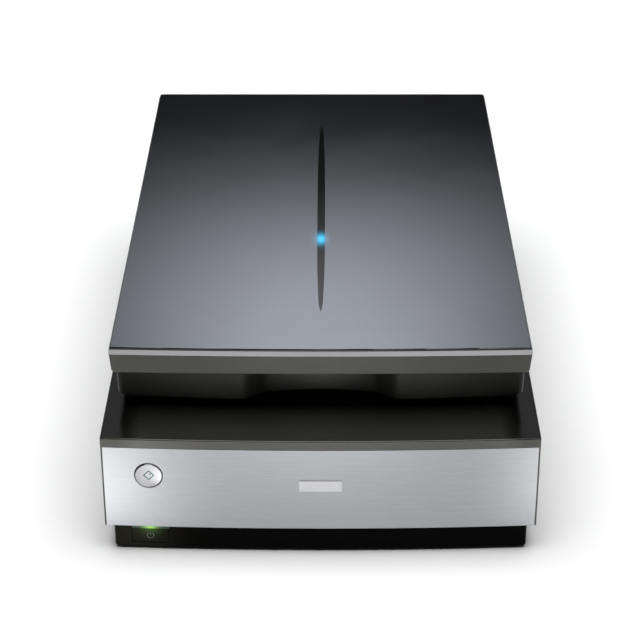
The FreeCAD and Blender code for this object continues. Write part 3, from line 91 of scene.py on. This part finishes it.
def tube_mesh(name, points, radius, sides=24, closed=False):
    """A round tube along a list of points, capped at both ends unless it is closed."""
    mesh = bpy.data.meshes.new(name)
    bm = bmesh.new()
    rings = []
    count = len(points)
    side = None
    for i, point in enumerate(points):
        before = points[(i - 1) % count] if closed or i else point
        after = points[(i + 1) % count] if closed or i < count - 1 else point
        ahead = (after - before).normalized()
        if side is None:
            side = ahead.orthogonal().normalized()
        side = (side - ahead * side.dot(ahead)).normalized()
        up = ahead.cross(side)
        ring = []
        for k in range(sides):
            a = 2 * math.pi * k / sides
            ring.append(bm.verts.new(point + (side * math.cos(a) + up * math.sin(a)) * radius))
        rings.append(ring)
    pairs = list(zip(rings, rings[1:])) + ([(rings[-1], rings[0])] if closed else [])
    for low, high in pairs:
        for k in range(sides):
            bm.faces.new((low[k], low[(k + 1) % sides], high[(k + 1) % sides], high[k]))
    if not closed:
        bm.faces.new(rings[0][::-1])
        bm.faces.new(rings[-1])
    bmesh.ops.recalc_face_normals(bm, faces=bm.faces)
    bm.to_mesh(mesh)
    bm.free()
    for face in mesh.polygons:
        face.use_smooth = len(face.vertices) == 4
    return mesh


# ---- Materials -------------------------------------------------------------------------------------
class Shader:
    """One principled material and short ways to wire patterns into it."""

    def __init__(self, name, colour, roughness, metallic=0.0, **inputs):
        self.material = bpy.data.materials.new(name)
        self.material.use_nodes = True
        self.tree = self.material.node_tree
        self.bsdf = self.tree.nodes["Principled BSDF"]
        self.set("Base Color", (*colour, 1.0))
        self.set("Roughness", roughness)
        self.set("Metallic", metallic)
        for key, value in inputs.items():
            self.set(key.replace("_", " ").title().replace("Ior", "IOR"), value)
        self.colour = colour
        self.place = self.node("ShaderNodeTexCoord").outputs["Object"]

    def node(self, kind, **settings):
        made = self.tree.nodes.new(kind)
        for key, value in settings.items():
            setattr(made, key, value)
        return made

    def set(self, socket, value):
        self.bsdf.inputs[socket].default_value = value

    def link(self, a, b):
        self.tree.links.new(a, b)

    def noise(self, size_mm, stretch=(1, 1, 1), detail=2.0, rough=0.5):
        """Noise from 0 to 1 with features about size_mm across, stretched along each axis."""
        mapping = self.node("ShaderNodeMapping")
        mapping.inputs["Scale"].default_value = [1 / s for s in stretch]
        self.link(self.place, mapping.inputs["Vector"])
        texture = self.node("ShaderNodeTexNoise")
        texture.inputs["Scale"].default_value = 1000 / size_mm
        texture.inputs["Detail"].default_value = detail
        texture.inputs["Roughness"].default_value = rough
        self.link(mapping.outputs["Vector"], texture.inputs["Vector"])
        return texture.outputs["Fac"]

    def span(self, value, low, high, from_low=0.3, from_high=0.7):
        """value remapped to run from low to high."""
        mapped = self.node("ShaderNodeMapRange")
        limits = {"From Min": from_low, "From Max": from_high, "To Min": low, "To Max": high}
        for key, number in limits.items():
            mapped.inputs[key].default_value = number
        self.link(value, mapped.inputs["Value"])
        return mapped.outputs["Result"]

    def math(self, operation, a, b=0.0):
        """One arithmetic step on two numbers or sockets."""
        made = self.node("ShaderNodeMath", operation=operation)
        for socket, value in zip(made.inputs, (a, b)):
            if isinstance(value, (int, float)):
                socket.default_value = value
            else:
                self.link(value, socket)
        return made.outputs[0]

    def hill(self, axis, centre, width):
        """A smooth hump across one axis, 1 at its centre and 0.37 at width to each side."""
        away = self.math("DIVIDE", self.math("SUBTRACT", self.part_of_place(axis), centre), width)
        return self.fall(self.math("MULTIPLY", away, away))

    def fall(self, square):
        """A bell curve of a squared distance: 1 at 0, and 0.37 at 1."""
        return self.math("POWER", math.e, self.math("MULTIPLY", square, -1.0))

    def halo(self, centre, radii_mm, colour, strength, follows=None):
        """A soft glow round a lamp, which moves with a CAD node if one is named. On a lamp's own bar it is
        the lamp's light; on the surfaces round a lamp it is a painted glow that stands in for the light the
        lamp spills.
        """
        place = self.place
        if follows:
            place = self.node("ShaderNodeTexCoord", object=nodes[follows]).outputs["Object"]
        offset = self.node("ShaderNodeVectorMath", operation="SUBTRACT")
        offset.inputs[1].default_value = centre
        self.link(place, offset.inputs[0])
        share = self.node("ShaderNodeVectorMath", operation="DIVIDE")
        share.inputs[1].default_value = [r * MM for r in radii_mm]
        self.link(offset.outputs[0], share.inputs[0])
        square = self.node("ShaderNodeVectorMath", operation="DOT_PRODUCT")
        self.link(share.outputs[0], square.inputs[0])
        self.link(share.outputs[0], square.inputs[1])
        self.glow(colour, self.math("MULTIPLY", self.fall(square.outputs["Value"]), strength))

    def tint(self, factor, dark, light):
        """Base colour that runs from dark to light."""
        mix = self.node("ShaderNodeMix", data_type="RGBA")
        mix.inputs["A"].default_value = (*dark, 1.0)
        mix.inputs["B"].default_value = (*light, 1.0)
        self.link(factor, mix.inputs["Factor"])
        self.link(mix.outputs["Result"], self.bsdf.inputs["Base Color"])

    def vary(self, factor, amount):
        """The base colour made darker and lighter by a share."""
        low = [c * (1 - amount) for c in self.colour]
        high = [min(1.0, c * (1 + amount)) for c in self.colour]
        self.tint(factor, low, high)

    def part_of_place(self, axis):
        """One coordinate of the shaded point, in metres in the frame at rest."""
        parts = self.node("ShaderNodeSeparateXYZ")
        self.link(self.place, parts.inputs["Vector"])
        return parts.outputs[axis]

    def facing(self, axis):
        """How squarely a face looks along an axis, either way: 1 if it does, 0 if it lies along it."""
        parts = self.node("ShaderNodeSeparateXYZ")
        self.link(self.node("ShaderNodeNewGeometry").outputs["Normal"], parts.inputs["Vector"])
        return self.math("ABSOLUTE", parts.outputs[axis])

    def toward(self, share, colour):
        """The base colour mixed with another one by a share from 0 to 1."""
        mix = self.node("ShaderNodeMix", data_type="RGBA")
        self.link(self.bsdf.inputs["Base Color"].links[0].from_socket, mix.inputs["A"])
        mix.inputs["B"].default_value = (*colour, 1.0)
        self.link(share, mix.inputs["Factor"])
        self.link(mix.outputs["Result"], self.bsdf.inputs["Base Color"])

    def by_facing(self, axis, low, high, colour):
        """Faces that turn away from an axis get another base colour."""
        self.toward(self.span(self.facing(axis), 1.0, 0.0, low, high), colour)

    def on_slopes(self, colour):
        """Another base colour on faces that lie halfway between level and upright, such as edge fillets."""
        up = self.facing("Z")
        level = self.math("SQRT", self.math("SUBTRACT", 1.0, self.math("MULTIPLY", up, up)))
        self.toward(self.span(self.math("MULTIPLY", up, level), 0.0, 1.0, 0.1, 0.35), colour)

    def seen_squarely(self):
        """1 where a surface is seen straight on, falling to 0 as it is seen at a low angle."""
        weight = self.node("ShaderNodeLayerWeight")
        return self.span(weight.outputs["Facing"], 1.0, 0.0, 0.08, 0.48)

    def beyond(self, inner_mm, outer_mm):
        """0 near the middle of the width, rising to 1 between two distances from it, on both sides."""
        out = self.math("ABSOLUTE", self.part_of_place("X"))
        return self.span(out, 0.0, 1.0, inner_mm * MM, outer_mm * MM)

    def spread_along(self, direction):
        """Anisotropic reflections are drawn out along this direction."""
        made = self.node("ShaderNodeCombineXYZ")
        for socket, value in zip(made.inputs, direction):
            socket.default_value = value
        self.link(made.outputs["Vector"], self.bsdf.inputs["Tangent"])

    def rough(self, factor, low, high):
        """Roughness that runs from low to high."""
        self.link(self.span(factor, low, high), self.bsdf.inputs["Roughness"])

    def bump(self, height, depth_mm):
        """Fine relief, with height from 0 to 1 standing for a depth."""
        made = self.node("ShaderNodeBump")
        made.inputs["Strength"].default_value = 1.0
        made.inputs["Distance"].default_value = depth_mm * MM
        self.link(height, made.inputs["Height"])
        self.link(made.outputs["Normal"], self.bsdf.inputs["Normal"])

    def glow(self, colour, strength):
        """Light given off by the surface, with its strength from a pattern."""
        self.set("Emission Color", (*colour, 1.0))
        self.link(strength, self.bsdf.inputs["Emission Strength"])


def status_light():
    """The middle of the front end of the status light's bar."""
    low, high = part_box("power_light_bar")
    return Vector(((low.x + high.x) / 2, low.y, (low.z + high.z) / 2))


def moulded(name, colour, roughness, grain_mm=0.5, depth_mm=0.02, uneven=0.12, **inputs):
    """Moulded plastic with a fine spark-eroded texture and slightly uneven colour and sheen."""
    s = Shader(name, colour, roughness, **inputs)
    grain = s.noise(grain_mm, detail=3.0)
    cloud = s.noise(45, detail=2.0)
    s.vary(s.math("MULTIPLY", grain, cloud), uneven)
    s.rough(cloud, roughness * (1 - uneven), roughness * (1 + uneven))
    s.bump(grain, depth_mm)
    return s


def metallic_paint(name, colour, roughness, metallic, flake):
    """Dark metallic paint: small flakes that catch the light in an even film."""
    s = Shader(name, colour, roughness, metallic)
    flakes = s.noise(0.45, detail=1.0)
    cloud = s.noise(60, detail=2.0)
    s.vary(flakes, flake)
    s.rough(cloud, roughness * 0.93, roughness * 1.07)
    s.bump(flakes, 0.012)
    return s


def badge_metal():
    """Bright metal plate with fine level lines."""
    s = Shader("badge_metal", (0.5, 0.5, 0.51), 0.3, 1.0)
    level = (30, 1, 1)
    fine = s.noise(0.35, level, detail=4.0, rough=0.65)
    broad = s.noise(2.2, level, detail=3.0)
    lines = s.math("MULTIPLY", s.math("ADD", fine, broad), 0.5)
    s.vary(s.span(lines, 0, 1, 0.35, 0.65), 0.03)
    s.rough(fine, 0.24, 0.375)
    s.bump(lines, 0.01)
    return s


def metal(name, colour, roughness):
    """Plain machined or drawn metal with faint marks."""
    s = Shader(name, colour, roughness, 1.0)
    marks = s.noise(1.5, (1, 8, 1), detail=4.0)
    s.vary(marks, 0.08)
    s.rough(marks, roughness * 0.8, roughness * 1.3)
    s.bump(marks, 0.004)
    return s


def make_materials():
    """One material for each of the record's slots, and two for the printed marks."""
    made = {
        "gunmetal": top_sheet(),
        "lid_grey": lid_paint(),
        "shell_grey": shell_paint(),
        "case_grey": deck_plastic(),
        "silver_panel": brushed_panel(),
        "badge_silver": badge_metal(),
        "button_silver": button_metal(),
        "gloss_black": plinth_black(),
        "black_plastic": moulded("black_plastic", (0.006, 0.006, 0.006), 0.6, specular_ior_level=0.15),
        "socket_black": moulded("socket_black", (0.025, 0.025, 0.025), 0.4),
        "white_nylon": moulded("natural_nylon", (0.72, 0.7, 0.62), 0.4, 0.8, 0.01),
        "rubber_black": moulded("rubber_black", (0.018, 0.018, 0.018), 0.75, 0.6, 0.03),
        "cable_black": moulded("cable_jacket", (0.02, 0.02, 0.021), 0.5, 0.8, 0.02),
        "belt_black": moulded("belt_rubber", (0.025, 0.025, 0.025), 0.7, 0.9, 0.05),
        "flex_grey": moulded("ribbon_cable", (0.55, 0.55, 0.52), 0.4, 1.0, 0.01),
        "diffuser": moulded("milky_diffuser", (0.8, 0.81, 0.82), 0.36, 1.0, 0.004, 0.02),
        "mat_white": moulded("mat_foam", (0.82, 0.82, 0.8), 0.85, 0.9, 0.06, 0.05, sheen_weight=0.3),
        "white_strip": moulded("calibration_white", (0.86, 0.86, 0.85), 0.7, 0.7, 0.01),
        "lamp_white": moulded("lamp_tube", (0.88, 0.88, 0.84), 0.22, 2.0, 0.004, coat_weight=0.4),
        "steel": metal("plain_steel", (0.55, 0.55, 0.56), 0.25),
        "zinc": metal("zinc_plate", (0.6, 0.6, 0.57), 0.38),
        "bronze": metal("sintered_bronze", (0.5, 0.32, 0.15), 0.45),
        "motor_steel": metal("motor_can", (0.42, 0.42, 0.42), 0.32),
        "lens_barrel": metal("anodised_barrel", (0.05, 0.05, 0.05), 0.35),
        "mirror_face": metal("front_mirror", (0.9, 0.9, 0.9), 0.03),
        "board_green": circuit_board(),
        "platen_glass": platen_glass(),
        "smoked_window": smoked_window(),
        "blue_light": blue_light(),
        "green_light": green_light(),
        "mark_green": moulded("printed_green", (0.1, 0.22, 0.17), 0.5, 0.6, 0.004),
        "mark_grey": moulded("printed_grey", (0.2, 0.19, 0.19), 0.5, 0.6, 0.004),
    }
    return {slot: shader.material for slot, shader in made.items()}


def top_sheet():
    """Blue-grey metallic sheet with painted reflection and shade: darker where it is seen squarely and
    lighter at a low angle, painted shade on its edges and sides, and a painted blue glow round the position
    light.
    """
    s = metallic_paint("gunmetal_sheet", (0.148, 0.153, 0.17), 0.2, 1.0, 0.08)
    # painted reflection: the base colour is darker where the sheet is seen squarely, so it looks lighter at
    # a low angle
    s.toward(s.seen_squarely(), (0.035, 0.036, 0.04))
    # painted shade: faces that turn away from up, such as the front edge at the seam, are darker
    s.by_facing("Z", 0.6, 0.97, (0.03, 0.03, 0.032))
    # painted shade: faces that look along X, the sides, are nearly black
    s.toward(s.span(s.facing("X"), 0.0, 1.0, 0.2, 0.6), (0.008, 0.008, 0.009))
    # painted glow: blue light spilled from the position light, moving with it
    s.halo(middle("position_light"), (4.6, 9.5, 50.0), (0.03, 0.5, 1.0), 0.45, "position_light")
    return s


def lid_paint():
    """Warm grey metallic paint with painted highlight and shade: the bevel keeps the lighter colour,
    upright faces get a darker painted shade, and the sides are painted nearly black.
    """
    s = metallic_paint("lid_metallic", (0.125, 0.124, 0.129), 0.3, 0.85, 0.12)
    # painted shade: faces that turn away from up, such as the upright lip, are darker, which leaves the
    # bevel as a painted highlight
    s.by_facing("Z", 0.15, 0.5, (0.048, 0.048, 0.0435))
    # painted shade: faces that look along X, the sides, are nearly black
    s.toward(s.span(s.facing("X"), 0.0, 1.0, 0.3, 0.8), (0.012, 0.012, 0.011))
    return s


def shell_paint():
    """Dark warm metallic paint of the lid's lower body, with a painted light patch in the scoop and painted
    shade towards both ends.
    """
    s = metallic_paint("lid_lower_paint", (0.032, 0.032, 0.028), 0.42, 0.9, 0.2)
    # painted light: lighter within about 26 mm of the middle, in the scoop
    s.toward(s.hill("X", 0.0, 0.026), (0.105, 0.105, 0.095))
    # painted shade: darkest from 80 to 150 mm out from the middle, towards both ends
    s.toward(s.beyond(80, 150), (0.009, 0.009, 0.008))
    return s


def deck_plastic():
    """Dark satin metallic paint that mirrors the lid, with painted shade: darker on upright faces, on
    rounded edges and along both sides.
    """
    s = metallic_paint("deck_metallic", (0.18, 0.18, 0.167), 0.24, 0.9, 0.1)
    # painted shade: upright faces, such as the front strip, get a darker colour than level ones
    s.by_facing("Z", 0.3, 0.9, (0.08, 0.079, 0.074))
    # painted shade: rounded edges between level and upright are darker, which keeps them from catching a
    # highlight
    s.on_slopes((0.05, 0.05, 0.046))
    # painted shade: darker along both sides, from 127 to 143 mm out from the middle
    sides = s.beyond(127, 143)
    s.toward(sides, (0.05, 0.05, 0.044))
    # painted shade: the level parts of both sides are nearly black
    s.toward(s.math("MULTIPLY", sides, s.facing("Z")), (0.011, 0.011, 0.009))
    return s


def brushed_panel():
    """Satin metal sheet with fine straight level lines, which spread a reflection up and down, and a
    painted green glow where the status light spills.
    """
    s = Shader("brushed_silver", (0.328, 0.333, 0.348), 0.3, 1.0, anisotropic=0.7)
    fine = s.noise(0.28, (150, 1, 1), detail=3.0, rough=0.7)
    broad = s.noise(1.3, (60, 1, 1), detail=2.0)
    lines = s.math("ADD", s.math("MULTIPLY", fine, 0.65), s.math("MULTIPLY", broad, 0.35))
    s.vary(s.span(lines, 0, 1, 0.38, 0.62), 0.05)
    s.rough(lines, 0.27, 0.33)
    s.bump(lines, 0.002)
    s.spread_along((0, 0, 1))
    # painted glow: green light spilled from the status light onto the panel
    s.halo(status_light(), (7.0, 50.0, 3.5), (0.45, 1.0, 0.2), 0.16)
    return s


def button_metal():
    """Satin metallic coating of the start button."""
    s = Shader("button_silver", (0.34, 0.34, 0.35), 0.16, 1.0)
    s.vary(s.noise(0.3, detail=2.0), 0.04)
    s.rough(s.noise(4.0), 0.14, 0.19)
    s.bump(s.noise(12.0), 0.01)
    return s


def plinth_black():
    """Polished black plastic with the faintest waviness of moulding, a painted warm reflection beside the
    green light and a painted green glow round it.
    """
    s = Shader("plinth_black", (0.0008, 0.0007, 0.0006), 0.14, specular_ior_level=0.03)
    wave = s.noise(30.0)
    s.vary(wave, 0.2)
    s.rough(s.noise(1.2, detail=3.0), 0.1, 0.16)
    s.bump(wave, 0.02)
    # painted reflection: a warm lighter patch just beside the status light
    s.toward(s.hill("X", status_light().x - 9 * MM, 0.024), (0.021, 0.02, 0.014))
    # painted glow: green light spilled from the status light onto the plinth
    s.halo(status_light(), (6.5, 50.0, 5.5), (0.42, 1.0, 0.22), 0.1)
    return s


def circuit_board():
    """Green solder mask with a pattern of fine tracks."""
    s = Shader("circuit_board", (0.02, 0.12, 0.055), 0.3)
    tracks = s.noise(6.0, (4, 1, 1), detail=0.0)
    s.tint(s.span(tracks, 0, 1, 0.48, 0.52), (0.015, 0.1, 0.045), (0.03, 0.17, 0.08))
    s.bump(s.noise(1.2, detail=1.0), 0.02)
    return s


def platen_glass():
    """Clear glass with a faint green tint and a trace of dust."""
    s = Shader("clear_glass", (0.93, 0.97, 0.96), 0.02, transmission_weight=1.0, ior=1.5)
    dust = s.noise(1.8, detail=6.0, rough=0.7)
    s.link(s.span(dust, 0.02, 0.07, 0.55, 0.8), s.bsdf.inputs["Roughness"])
    return s


def smoked_window():
    """Dark smoked strip with a painted blue glow over the position light, wherever that stands, in place of
    its light shining through the strip.
    """
    s = Shader("smoked_window", (0.004, 0.004, 0.004), 0.12)
    s.vary(s.noise(20.0), 0.2)
    s.rough(s.noise(8.0), 0.1, 0.14)
    s.link(s.span(s.part_of_place("Y"), 0.16, 0.02, -0.2, 0.05), s.bsdf.inputs["Specular IOR Level"])
    # painted glow: the position light's light through the strip, moving with it
    s.halo(middle("position_light"), (4.2, 8.5, 50.0), (0.07, 0.6, 1.0), 1.3, "position_light")
    return s


def blue_light():
    """Small blue lamp that shines only at the tip of its post, whitest at its middle."""
    s = Shader("blue_lamp", (0.02, 0.03, 0.05), 0.4)
    s.vary(s.noise(1.0), 0.2)
    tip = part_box("position_light")[1].z
    height = s.part_of_place("Z")
    lit = s.span(height, 0.0, 1.0, tip - 2.5 * MM, tip - 1.0 * MM)
    s.glow((0.16, 0.55, 1.0), s.math("MULTIPLY", lit, 60.0))
    return s


def green_light():
    """Light bar that is brightest over the lamp behind it and fades towards its ends."""
    s = Shader("green_lamp", (0.012, 0.045, 0.03), 0.3)
    s.vary(s.noise(1.5), 0.08)
    s.halo(status_light(), (4.5, 50.0, 50.0), (0.42, 0.9, 0.14), 0.75)
    return s


def dress_nodes(materials):
    """Every CAD node gets the procedural material of its slot in the record."""
    slots = {part["node"]: part["material_slot"] for part in frame["record"]["subparts"]}
    for name, node in nodes.items():
        node.data.materials.clear()
        node.data.materials.append(materials[slots[name]])


# ---- Added pieces ----------------------------------------------------------------------------------
def front_of(node, x, z):
    """The point where a line from the front, along +Y, first meets a CAD node."""
    hit, point, _, _ = nodes[node].ray_cast(Vector((x, -1.0, z)), Vector((0, 1, 0)))
    return point if hit else Vector((x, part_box(node)[0].y, z))


def printed_line(name, node, outline, radius, closed=False):
    """A thin raised line that follows the front of a CAD node, through offsets from the node's centre."""
    centre = middle(node)
    points = [front_of(node, centre.x + a, centre.z + b) for a, b in outline]
    return tube_mesh(name, points, radius, 10, closed)


def along(corners, steps, closed=True):
    """Evenly spaced points on straight lines between corners."""
    ends = corners[1:] + corners[:1] if closed else corners[1:]
    points = []
    for (x, z), (x2, z2) in zip(corners, ends):
        points += [(x + (x2 - x) * i / steps, z + (z2 - z) * i / steps) for i in range(steps)]
    return points if closed else points + [corners[-1]]


def arc(radius, start, end, steps):
    """Points on an arc round the origin, with angles in degrees."""
    angles = [math.radians(start + (end - start) * i / steps) for i in range(steps + 1)]
    return [(radius * math.cos(a), radius * math.sin(a)) for a in angles]


def join_meshes(name, meshes):
    """Several meshes as one."""
    bm = bmesh.new()
    for mesh in meshes:
        bm.from_mesh(mesh)
        bpy.data.meshes.remove(mesh)
    joined = bpy.data.meshes.new(name)
    bm.to_mesh(joined)
    bm.free()
    return joined


def make_start_mark():
    """A generic start symbol on the dished button: a diamond with a short stroke into it."""
    half = 3.6 * MM
    diamond = along([(half, 0), (0, half), (-half, 0), (0, -half)], 8)
    stroke = along([(0.1 * half, 0.1 * half), (0.5 * half, 0.5 * half)], 4, closed=False)
    line = 0.4 * MM
    meshes = [
        printed_line("outline", "scan_button", diamond, line, closed=True),
        printed_line("stroke", "scan_button", stroke, line),
    ]
    mark = join_meshes("start_mark", meshes)
    new_piece("start_mark", mark, materials["mark_green"], "scan_button")


def make_power_mark():
    """The standard power symbol on the power key."""
    radius, line = 2.3 * MM, 0.27 * MM
    ring = arc(radius, 125, 415, 28)
    bar = along([(0, 0.35 * radius), (0, 1.25 * radius)], 4, closed=False)
    meshes = [
        printed_line("ring", "power_button", ring, line),
        printed_line("bar", "power_button", bar, line),
    ]
    mark = join_meshes("power_mark", meshes)
    new_piece("power_mark", mark, materials["mark_grey"], "power_button")


def bezier(a, b, c, d, steps):
    """Points on a curve from a to d that leaves towards b and arrives from c."""
    shares = [i / steps for i in range(steps + 1)]
    return [
        a * (1 - t) ** 3 + b * 3 * t * (1 - t) ** 2 + c * 3 * t**2 * (1 - t) + d * t**3 for t in shares
    ]


def make_cover_cable():
    """The free length of the lid's cable: one piece beside the posts, one from there to the lid."""
    fixed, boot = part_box("cover_cable"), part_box("cover_cable_boot")
    x, y, top = middle("cover_cable").x, fixed[1].y - 2.2 * MM, fixed[1].z
    low, steps = top - 33 * MM, 24
    upright = [Vector((x, y, low + (top - low) * i / steps)) for i in range(steps + 1)]
    sleeve = tube_mesh("cable_sleeve", upright, CABLE_RADIUS)
    piece = new_piece("cable_sleeve", sleeve, materials["cable_black"], None)
    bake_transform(piece)
    start = Vector((x, y, top - 1 * MM))
    finish = Vector((x, boot[1].y - 2 * MM, (boot[0].z + boot[1].z) / 2))
    curve = bezier(start, start + mm(0, 5, 12), finish + mm(0, 13, -1), finish, 40)
    upper = tube_mesh("cable_to_lid", curve, CABLE_RADIUS)
    piece = new_piece("cable_to_lid", upper, materials["cable_black"], None)
    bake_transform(piece)


def make_mat_pad():
    """The soft white backing: a thin pad with rounded corners and edges and a slightly uneven face."""
    low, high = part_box("document_mat")
    centre, half = (low + high) / 2, (high - low) / 2
    corner, edge, deepest_dip = 9 * MM, 1.6 * MM, 0.1 * MM
    across, along_y = 56, 76
    bm = bmesh.new()
    rows = {}
    for face in (-1, 1):
        for i in range(across + 1):
            for j in range(along_y + 1):
                if face > 0 and (i in (0, across) or j in (0, along_y)):
                    rows[face, i, j] = rows[-1, i, j]
                    continue
                u, v = grid_place(i, across), grid_place(j, along_y)
                x, y = rounded_place(u * half.x, v * half.y, half, corner)
                inward = min(half.x * (1 - abs(u)), half.y * (1 - abs(v)))
                share = min(1.0, inward / edge)
                thick = half.z * math.sqrt(max(0.0, 1 - (1 - share) ** 2))
                dip = deepest_dip * math.sin(x * 31 + 1) * math.sin(y * 23 + 2) * share
                z = centre.z + face * (thick - abs(dip))
                rows[face, i, j] = bm.verts.new((centre.x + x, centre.y + y, z))
        for i in range(across):
            for j in range(along_y):
                ring = [rows[face, i + a, j + b] for a, b in ((0, 0), (1, 0), (1, 1), (0, 1))]
                bm.faces.new(ring if face > 0 else ring[::-1])
    bmesh.ops.recalc_face_normals(bm, faces=bm.faces)
    mesh = bpy.data.meshes.new("mat_pad")
    bm.to_mesh(mesh)
    bm.free()
    for polygon in mesh.polygons:
        polygon.use_smooth = True
    pad = new_piece("mat_pad", mesh, materials["mat_white"], "mat")
    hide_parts("document_mat")


def grid_place(i, count):
    """Grid places from -1 to 1 that crowd towards both ends."""
    return math.sin(math.pi / 2 * (2 * i / count - 1))


def rounded_place(x, y, half, corner):
    """A place in a rectangle moved so that the rectangle's corners are round."""
    over_x, over_y = abs(x) - (half.x - corner), abs(y) - (half.y - corner)
    if over_x <= 0 or over_y <= 0:
        return x, y
    scale = max(over_x, over_y) / math.hypot(over_x, over_y)
    return (
        math.copysign(half.x - corner + over_x * scale, x),
        math.copysign(half.y - corner + over_y * scale, y),
    )


# ---- Room, light and camera ------------------------------------------------------------------------
def make_floor():
    """A wide pale floor with a painted glow that makes it brighter towards the back."""
    mesh = bpy.data.meshes.new("floor")
    bm = bmesh.new()
    bmesh.ops.create_grid(bm, x_segments=4, y_segments=4, size=30.0)
    bm.to_mesh(mesh)
    bm.free()
    floor = bpy.data.objects.new("floor", mesh)
    bpy.context.scene.collection.objects.link(floor)
    s = Shader("pale_floor", (0.93, 0.93, 0.93), 0.9)
    s.vary(s.noise(400), 0.004)
    s.set("Specular IOR Level", 0.0)
    # painted glow: the floor grows brighter towards the back
    s.glow((1, 1, 1), s.span(s.part_of_place("Y"), 0.0, FLOOR_GLOW, 0.2, 0.9))
    mesh.materials.append(s.material)


def make_world():
    """A studio that is dark round the horizon and lighter overhead."""
    world = bpy.data.worlds.new("studio")
    bpy.context.scene.world = world
    world.use_nodes = True
    tree = world.node_tree
    background = tree.nodes["Background"]
    place = tree.nodes.new("ShaderNodeTexCoord")
    parts = tree.nodes.new("ShaderNodeSeparateXYZ")
    ramp = tree.nodes.new("ShaderNodeValToRGB")
    tree.links.new(place.outputs["Generated"], parts.inputs["Vector"])
    tree.links.new(parts.outputs["Z"], ramp.inputs["Fac"])
    stops = [(0.0, 0.02), (0.3, 0.02), (0.55, 0.1), (0.8, 0.6), (1.0, 0.9)]
    elements = ramp.color_ramp.elements
    while len(elements) < len(stops):
        elements.new(0.5)
    for element, (position, value) in zip(elements, stops):
        element.position = position
        element.color = (value, value, value * 1.02, 1.0)
    tree.links.new(ramp.outputs["Color"], background.inputs["Color"])
    background.inputs["Strength"].default_value = WORLD_POWER


def make_overhead():
    """A large soft light above and in front of the scanner."""
    place, target = Vector((0, -0.5, 2.6)), Vector((0, -0.1, 0))
    data = bpy.data.lights.new("overhead", "AREA")
    data.shape = "RECTANGLE"
    data.size, data.size_y = 2.6, 2.2
    data.energy = OVERHEAD_POWER
    light = bpy.data.objects.new("overhead", data)
    bpy.context.scene.collection.objects.link(light)
    light.location = place
    light.rotation_euler = (target - place).to_track_quat("-Z", "Y").to_euler()
    light.visible_camera = False


def glow_card(name, corners, colour, make_strength):
    """A studio card that glows on one side and is clear otherwise. make_strength wires its pattern."""
    mesh = bpy.data.meshes.new(name)
    bm = bmesh.new()
    bm.faces.new([bm.verts.new(corner) for corner in corners])
    bm.to_mesh(mesh)
    bm.free()
    card = bpy.data.objects.new(name, mesh)
    bpy.context.scene.collection.objects.link(card)
    card.visible_camera = False
    card.visible_shadow = False
    s = Shader(name, (0, 0, 0), 1.0)
    front = s.math("SUBTRACT", 1.0, s.node("ShaderNodeNewGeometry").outputs["Backfacing"])
    light = s.node("ShaderNodeEmission")
    light.inputs["Color"].default_value = (*colour, 1.0)
    s.link(s.math("MULTIPLY", make_strength(s), front), light.inputs["Strength"])
    both = s.node("ShaderNodeAddShader")
    s.link(light.outputs[0], both.inputs[0])
    s.link(s.node("ShaderNodeBsdfTransparent").outputs[0], both.inputs[1])
    s.link(both.outputs[0], s.tree.nodes["Material Output"].inputs["Surface"])
    mesh.materials.append(s.material)


def make_rear_card():
    """A tall card behind the scanner that the lid's top mirrors: brighter upwards, fading to its sides."""
    x, y, low, high, half_width = -0.005, 0.6, 0.34, 1.3, 0.62

    def strength(s):
        rise = s.span(s.part_of_place("Z"), 0.0, 1.0, low, low + 0.26)
        rise.node.interpolation_type = "SMOOTHSTEP"
        return s.math("MULTIPLY", s.math("MULTIPLY", rise, s.hill("X", x, 0.245)), REAR_CARD_POWER)

    corners = [(x + a * half_width, y, z) for a, z in ((-1, low), (1, low), (1, high), (-1, high))]
    glow_card("rear_card", corners, (0.94, 0.97, 1.0), strength)


def make_front_card():
    """A card on the floor in front. The panel mirrors its bright ends, the lid's lip its middle."""
    near, far, half_width, lift = -0.275, -1.1, 0.5, 0.002

    def strength(s):
        left = s.math("MULTIPLY", s.hill("X", -0.2, 0.07), LEFT_CARD_POWER)
        right = s.math("MULTIPLY", s.hill("X", 0.22, 0.055), RIGHT_CARD_POWER)
        ends = s.math("MULTIPLY", s.math("ADD", left, right), s.hill("Y", -0.33, 0.08))
        middle_part = s.math("MULTIPLY", s.hill("X", 0.0, 0.12), s.hill("Y", -0.66, 0.2))
        return s.math("ADD", ends, s.math("MULTIPLY", middle_part, MIDDLE_CARD_POWER))

    corners = [(a * half_width, y, lift) for a, y in ((-1, far), (1, far), (1, near), (-1, near))]
    glow_card("front_card", corners, (1, 1, 1), strength)


def make_camera():
    """A long lens from the front and above, with very slight turn and roll."""
    pitch, yaw, roll = math.radians(28.45), math.radians(-0.221), math.radians(-0.078)
    ahead = Vector((math.sin(yaw) * math.cos(pitch), math.cos(yaw) * math.cos(pitch), -math.sin(pitch)))
    right = Vector((math.cos(yaw), -math.sin(yaw), 0))
    up = right.cross(ahead)
    side = right * math.cos(roll) + up * math.sin(roll)
    top = up * math.cos(roll) - right * math.sin(roll)
    data = bpy.data.cameras.new("camera")
    data.lens, data.sensor_width = 108.67, 36.0
    camera = bpy.data.objects.new("camera", data)
    bpy.context.scene.collection.objects.link(camera)
    camera.matrix_world = Matrix.Translation(mm(4.24, -1389.44, 808.47)) @ Matrix(
        ((side.x, top.x, -ahead.x), (side.y, top.y, -ahead.y), (side.z, top.z, -ahead.z))
    ).to_4x4()
    bpy.context.scene.camera = camera


materials = make_materials()
dress_nodes(materials)
make_start_mark()
make_power_mark()
make_cover_cable()
make_mat_pad()
make_floor()
make_world()
make_overhead()
make_rear_card()
make_front_card()
make_camera()
bpy.context.scene.view_settings.view_transform = "Standard"
